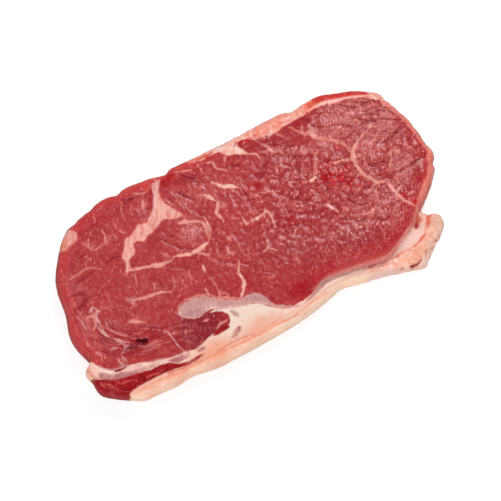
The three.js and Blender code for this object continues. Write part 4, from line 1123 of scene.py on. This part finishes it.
    def over_cap(self, colour):
        """The corner's band of fat, mauve marks, the silverskin and orange or bloody lines."""
        tiny, small, broad = self.tiny, self.small, self.broad
        strip_fat = self.mix((broad * 1.2 + small * 1.4 + 0.5).between(0.25, 0.75), (214, 150, 140),
                             (232, 190, 176))
        mauves, _ = self.hand.stroke("mauve", soft=0.6)
        mauve = self.mix((small * 1.6 + tiny + 0.5).between(0.2, 0.8), (154, 78, 83), (188, 118, 115))
        silver_deep = self.field("silver") + self.wobble * 1.2
        silver = self.mix((broad + small * 0.6 + 0.5).between(0.2, 0.8), (174, 120, 118), (200, 150, 142))
        silver = self.coats(silver, (self.combed(3.0, 0.7, 51.0).between(0.5, 0.7) * 0.3, (220, 190, 184)),
                            (silver_deep.between(1.2, 0.0) * 0.5, (214, 150, 142)))
        streaks, redness = self.hand.stroke("streak", soft=0.45, ragged=0.6)
        stain_red = self.mix(redness, (232, 134, 100), (186, 40, 34))
        stain_red = self.mix(redness.between(1.05, 1.3), stain_red, (138, 8, 18))
        return self.coats(colour, ((self.field("strip") + self.wobble).between(-0.3, 0.5) * 0.9, strip_fat),
                          (mauves, mauve),
                          (silver_deep.between(-0.4, 0.4), silver),
                          ((streaks * 1.15).least(0.96), stain_red))

    def side_muscle(self, colour):
        """Dark, dull red, with a skin of its own on the wall, painted a little lighter there against the
        wall's shade, and a little marbling.
        """
        # The wall's skin: its own pattern, painted a little lighter than the face to lift the wall's shade.
        side_skin_and_lift = self.mix(self.muscle_skin.between(0.3, 0.7), (132, 0, 14), (176, 6, 28))
        side = self.mix((self.small * 1.5 + self.tiny + 0.5).between(0.1, 0.9), (118, 0, 12), (160, 0, 22))
        side = self.coats(side, (self.wall * 0.7, side_skin_and_lift),
                          ((self.mottle + self.broad * 0.6).between(0.52, 0.68) * 0.55, (184, 46, 54)),
                          (self.flecks_and_glints * 0.4, (214, 130, 126)),
                          (self.seams * 0.75, (204, 92, 88)))
        on_side = (self.field("side") + self.wobble * (1.0 + self.wall)).between(-0.4, 0.4)
        return self.mix(on_side, colour, side)

    def white_films(self, colour):
        """Whitish films that shine on top of everything: partly real membrane, partly painted glints."""
        # The films: partly real membrane, partly painted glints.
        film = self.mix(self.whiteness, (230, 150, 138), (230, 194, 190))
        return self.mix(self.films * 0.75, colour, film)

    def wetness(self):
        """Roughness: smooth over the deep red, duller over the painted pale sheen."""
        return (0.25 + self.small * 0.2 + self.tiny * 0.12 + self.sheen * 0.08
                + (self.east * -0.01).between(0.0, 0.6, 0.0, 0.06))

    def fine_bump(self):
        """The finest relief, in mm: bundles, cut ends and frost on the lean, and creases and films."""
        on_fat = self.cap.most(self.field("wedge")).between(-0.5, 0.5, 1.0, 0.25)
        fibres = (self.coarse.between(0.0, 0.2) * 0.06 * self.shown + self.ends * 0.06
                  + self.frost_and_glints * 0.06 * (0.4 + self.frost_glint_zone) + self.flecks_and_glints * 0.03)
        return (fibres * on_fat + self.tiny * 0.03 + self.small * 0.12 - self.creases * 0.15
                + self.films * 0.05)


def flesh_material():
    """Raw beef: wet red lean, cream fat, grey-mauve silverskin and a darker side muscle."""
    material = bpy.data.materials.new("Raw beef")
    material.use_nodes = True
    surface = material.node_tree.nodes["Principled BSDF"]
    beef = Beef(material.node_tree)
    colour = beef.mix(beef.wall, beef.rim_glow(beef.lean()), beef.walls())
    for add_part in (beef.grain, beef.marks, beef.seam_fat, beef.wedge_fat, beef.far_band, beef.cap_fat,
                     beef.over_cap, beef.side_muscle, beef.white_films):
        colour = add_part(colour)
    bump = beef.node("ShaderNodeBump")
    bump.inputs["Strength"].default_value = 1.0
    bump.inputs["Distance"].default_value = 1.0 * MM
    for slot, value in ((surface.inputs["Base Color"], colour),
                        (surface.inputs["Roughness"], beef.wetness()),
                        (bump.inputs["Height"], beef.fine_bump()),
                        (surface.inputs["Normal"], Wire(beef.tree, bump.outputs[0]))):
        value.feed(slot, value)
    # A warm tint on the gloss keeps the pale flecks from turning mauve.
    for name, value in (("IOR", 1.38), ("Specular IOR Level", 0.42), ("Specular Tint", (1.0, 0.82, 0.78, 1)),
                        ("Subsurface Weight", 0.15), ("Subsurface Radius", (1.0, 0.35, 0.25)),
                        ("Subsurface Scale", 2.0 * MM)):
        surface.inputs[name].default_value = value
    return material


steak_draft = bpy.data.objects.new("steak_draft", steak_mesh)
scene.collection.objects.link(steak_draft)
relief, dressing = relief_tree()
dressing.inputs["Material"].default_value = flesh_material()
steak_draft.modifiers.new("relief", "NODES").node_group = relief
bpy.context.view_layer.update()
steak = bpy.data.objects.new("steak_flesh", plain_mesh(steak_draft))
scene.collection.objects.link(steak)
for face in steak.data.polygons:
    face.use_smooth = True
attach(steak, "root")
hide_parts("steak")

# ---- Table, light and camera -----------------------------------------------------------------
# A plain white light table under soft studio light: a strong soft box high up behind, and weaker
# ones at the left and in front. The camera looks down from high up on the fat cap's side.

TABLE_SIDE = 3.0              # m
TABLE_GREY = 0.3
TABLE_GLOW = 0.76             # the light that comes up through the table
ROOM_LIGHT = 0.22
# Square soft lights that face a point: where, the point, side in m, watts.
SOFTBOXES = {
    "key": ((0.49, 0.46, 0.95), (0.03, 0, 0), 0.4, 9.0),
    "left": ((-0.55, 0.15, 0.85), (0, 0, 0), 0.5, 2.9),
    "fill": ((-0.28, -0.88, 0.55), (0, 0, 0), 0.8, 5.6),
}

table = bpy.data.meshes.new("table")
half = TABLE_SIDE / 2
table.from_pydata([(-half, -half, 0), (half, -half, 0), (half, half, 0), (-half, half, 0)], [],
                  [(0, 1, 2, 3)])
floor = bpy.data.objects.new("table", table)
scene.collection.objects.link(floor)
pale = bpy.data.materials.new("Pale table")
pale.use_nodes = True
pale_surface = pale.node_tree.nodes["Principled BSDF"]
for name, value in (("Base Color", (TABLE_GREY, TABLE_GREY, TABLE_GREY, 1)), ("Roughness", 0.9),
                    ("Emission Color", (1, 1, 1, 1)), ("Emission Strength", TABLE_GLOW)):
    pale_surface.inputs[name].default_value = value
table.materials.append(pale)
# The wet walls would mirror the white table as a grey veil.
floor.visible_glossy = False

world = bpy.data.worlds.new("Studio")
world.use_nodes = True
world.node_tree.nodes["Background"].inputs["Color"].default_value = (1, 1, 1, 1)
world.node_tree.nodes["Background"].inputs["Strength"].default_value = ROOM_LIGHT
scene.world = world

for name, (where, aim, side, watts) in SOFTBOXES.items():
    lamp = bpy.data.lights.new(name, "AREA")
    lamp.shape, lamp.size, lamp.energy = "SQUARE", side, watts
    box = bpy.data.objects.new(name, lamp)
    box.location = where
    box.rotation_euler = (Vector(aim) - Vector(where)).to_track_quat("-Z", "Y").to_euler()
    scene.collection.objects.link(box)

VIEW_AZIMUTH, VIEW_ELEVATION = math.radians(-25.3), math.radians(73.9)
VIEW_DISTANCE = 0.6906        # m
VIEW_AIM = Vector((-3.36, -6.68, 11.0)) * MM
VIEW_LENS, VIEW_SENSOR = 100, 36    # mm
back = Vector((math.sin(VIEW_AZIMUTH) * math.cos(VIEW_ELEVATION),
               -math.cos(VIEW_AZIMUTH) * math.cos(VIEW_ELEVATION), math.sin(VIEW_ELEVATION)))
eye = bpy.data.objects.new("camera", bpy.data.cameras.new("camera"))
eye.data.lens, eye.data.sensor_width = VIEW_LENS, VIEW_SENSOR
eye.location = VIEW_AIM + back * VIEW_DISTANCE
eye.rotation_euler = (-back).to_track_quat("-Z", "Y").to_euler()
scene.collection.objects.link(eye)
scene.camera = eye
scene.view_settings.view_transform = "Standard"
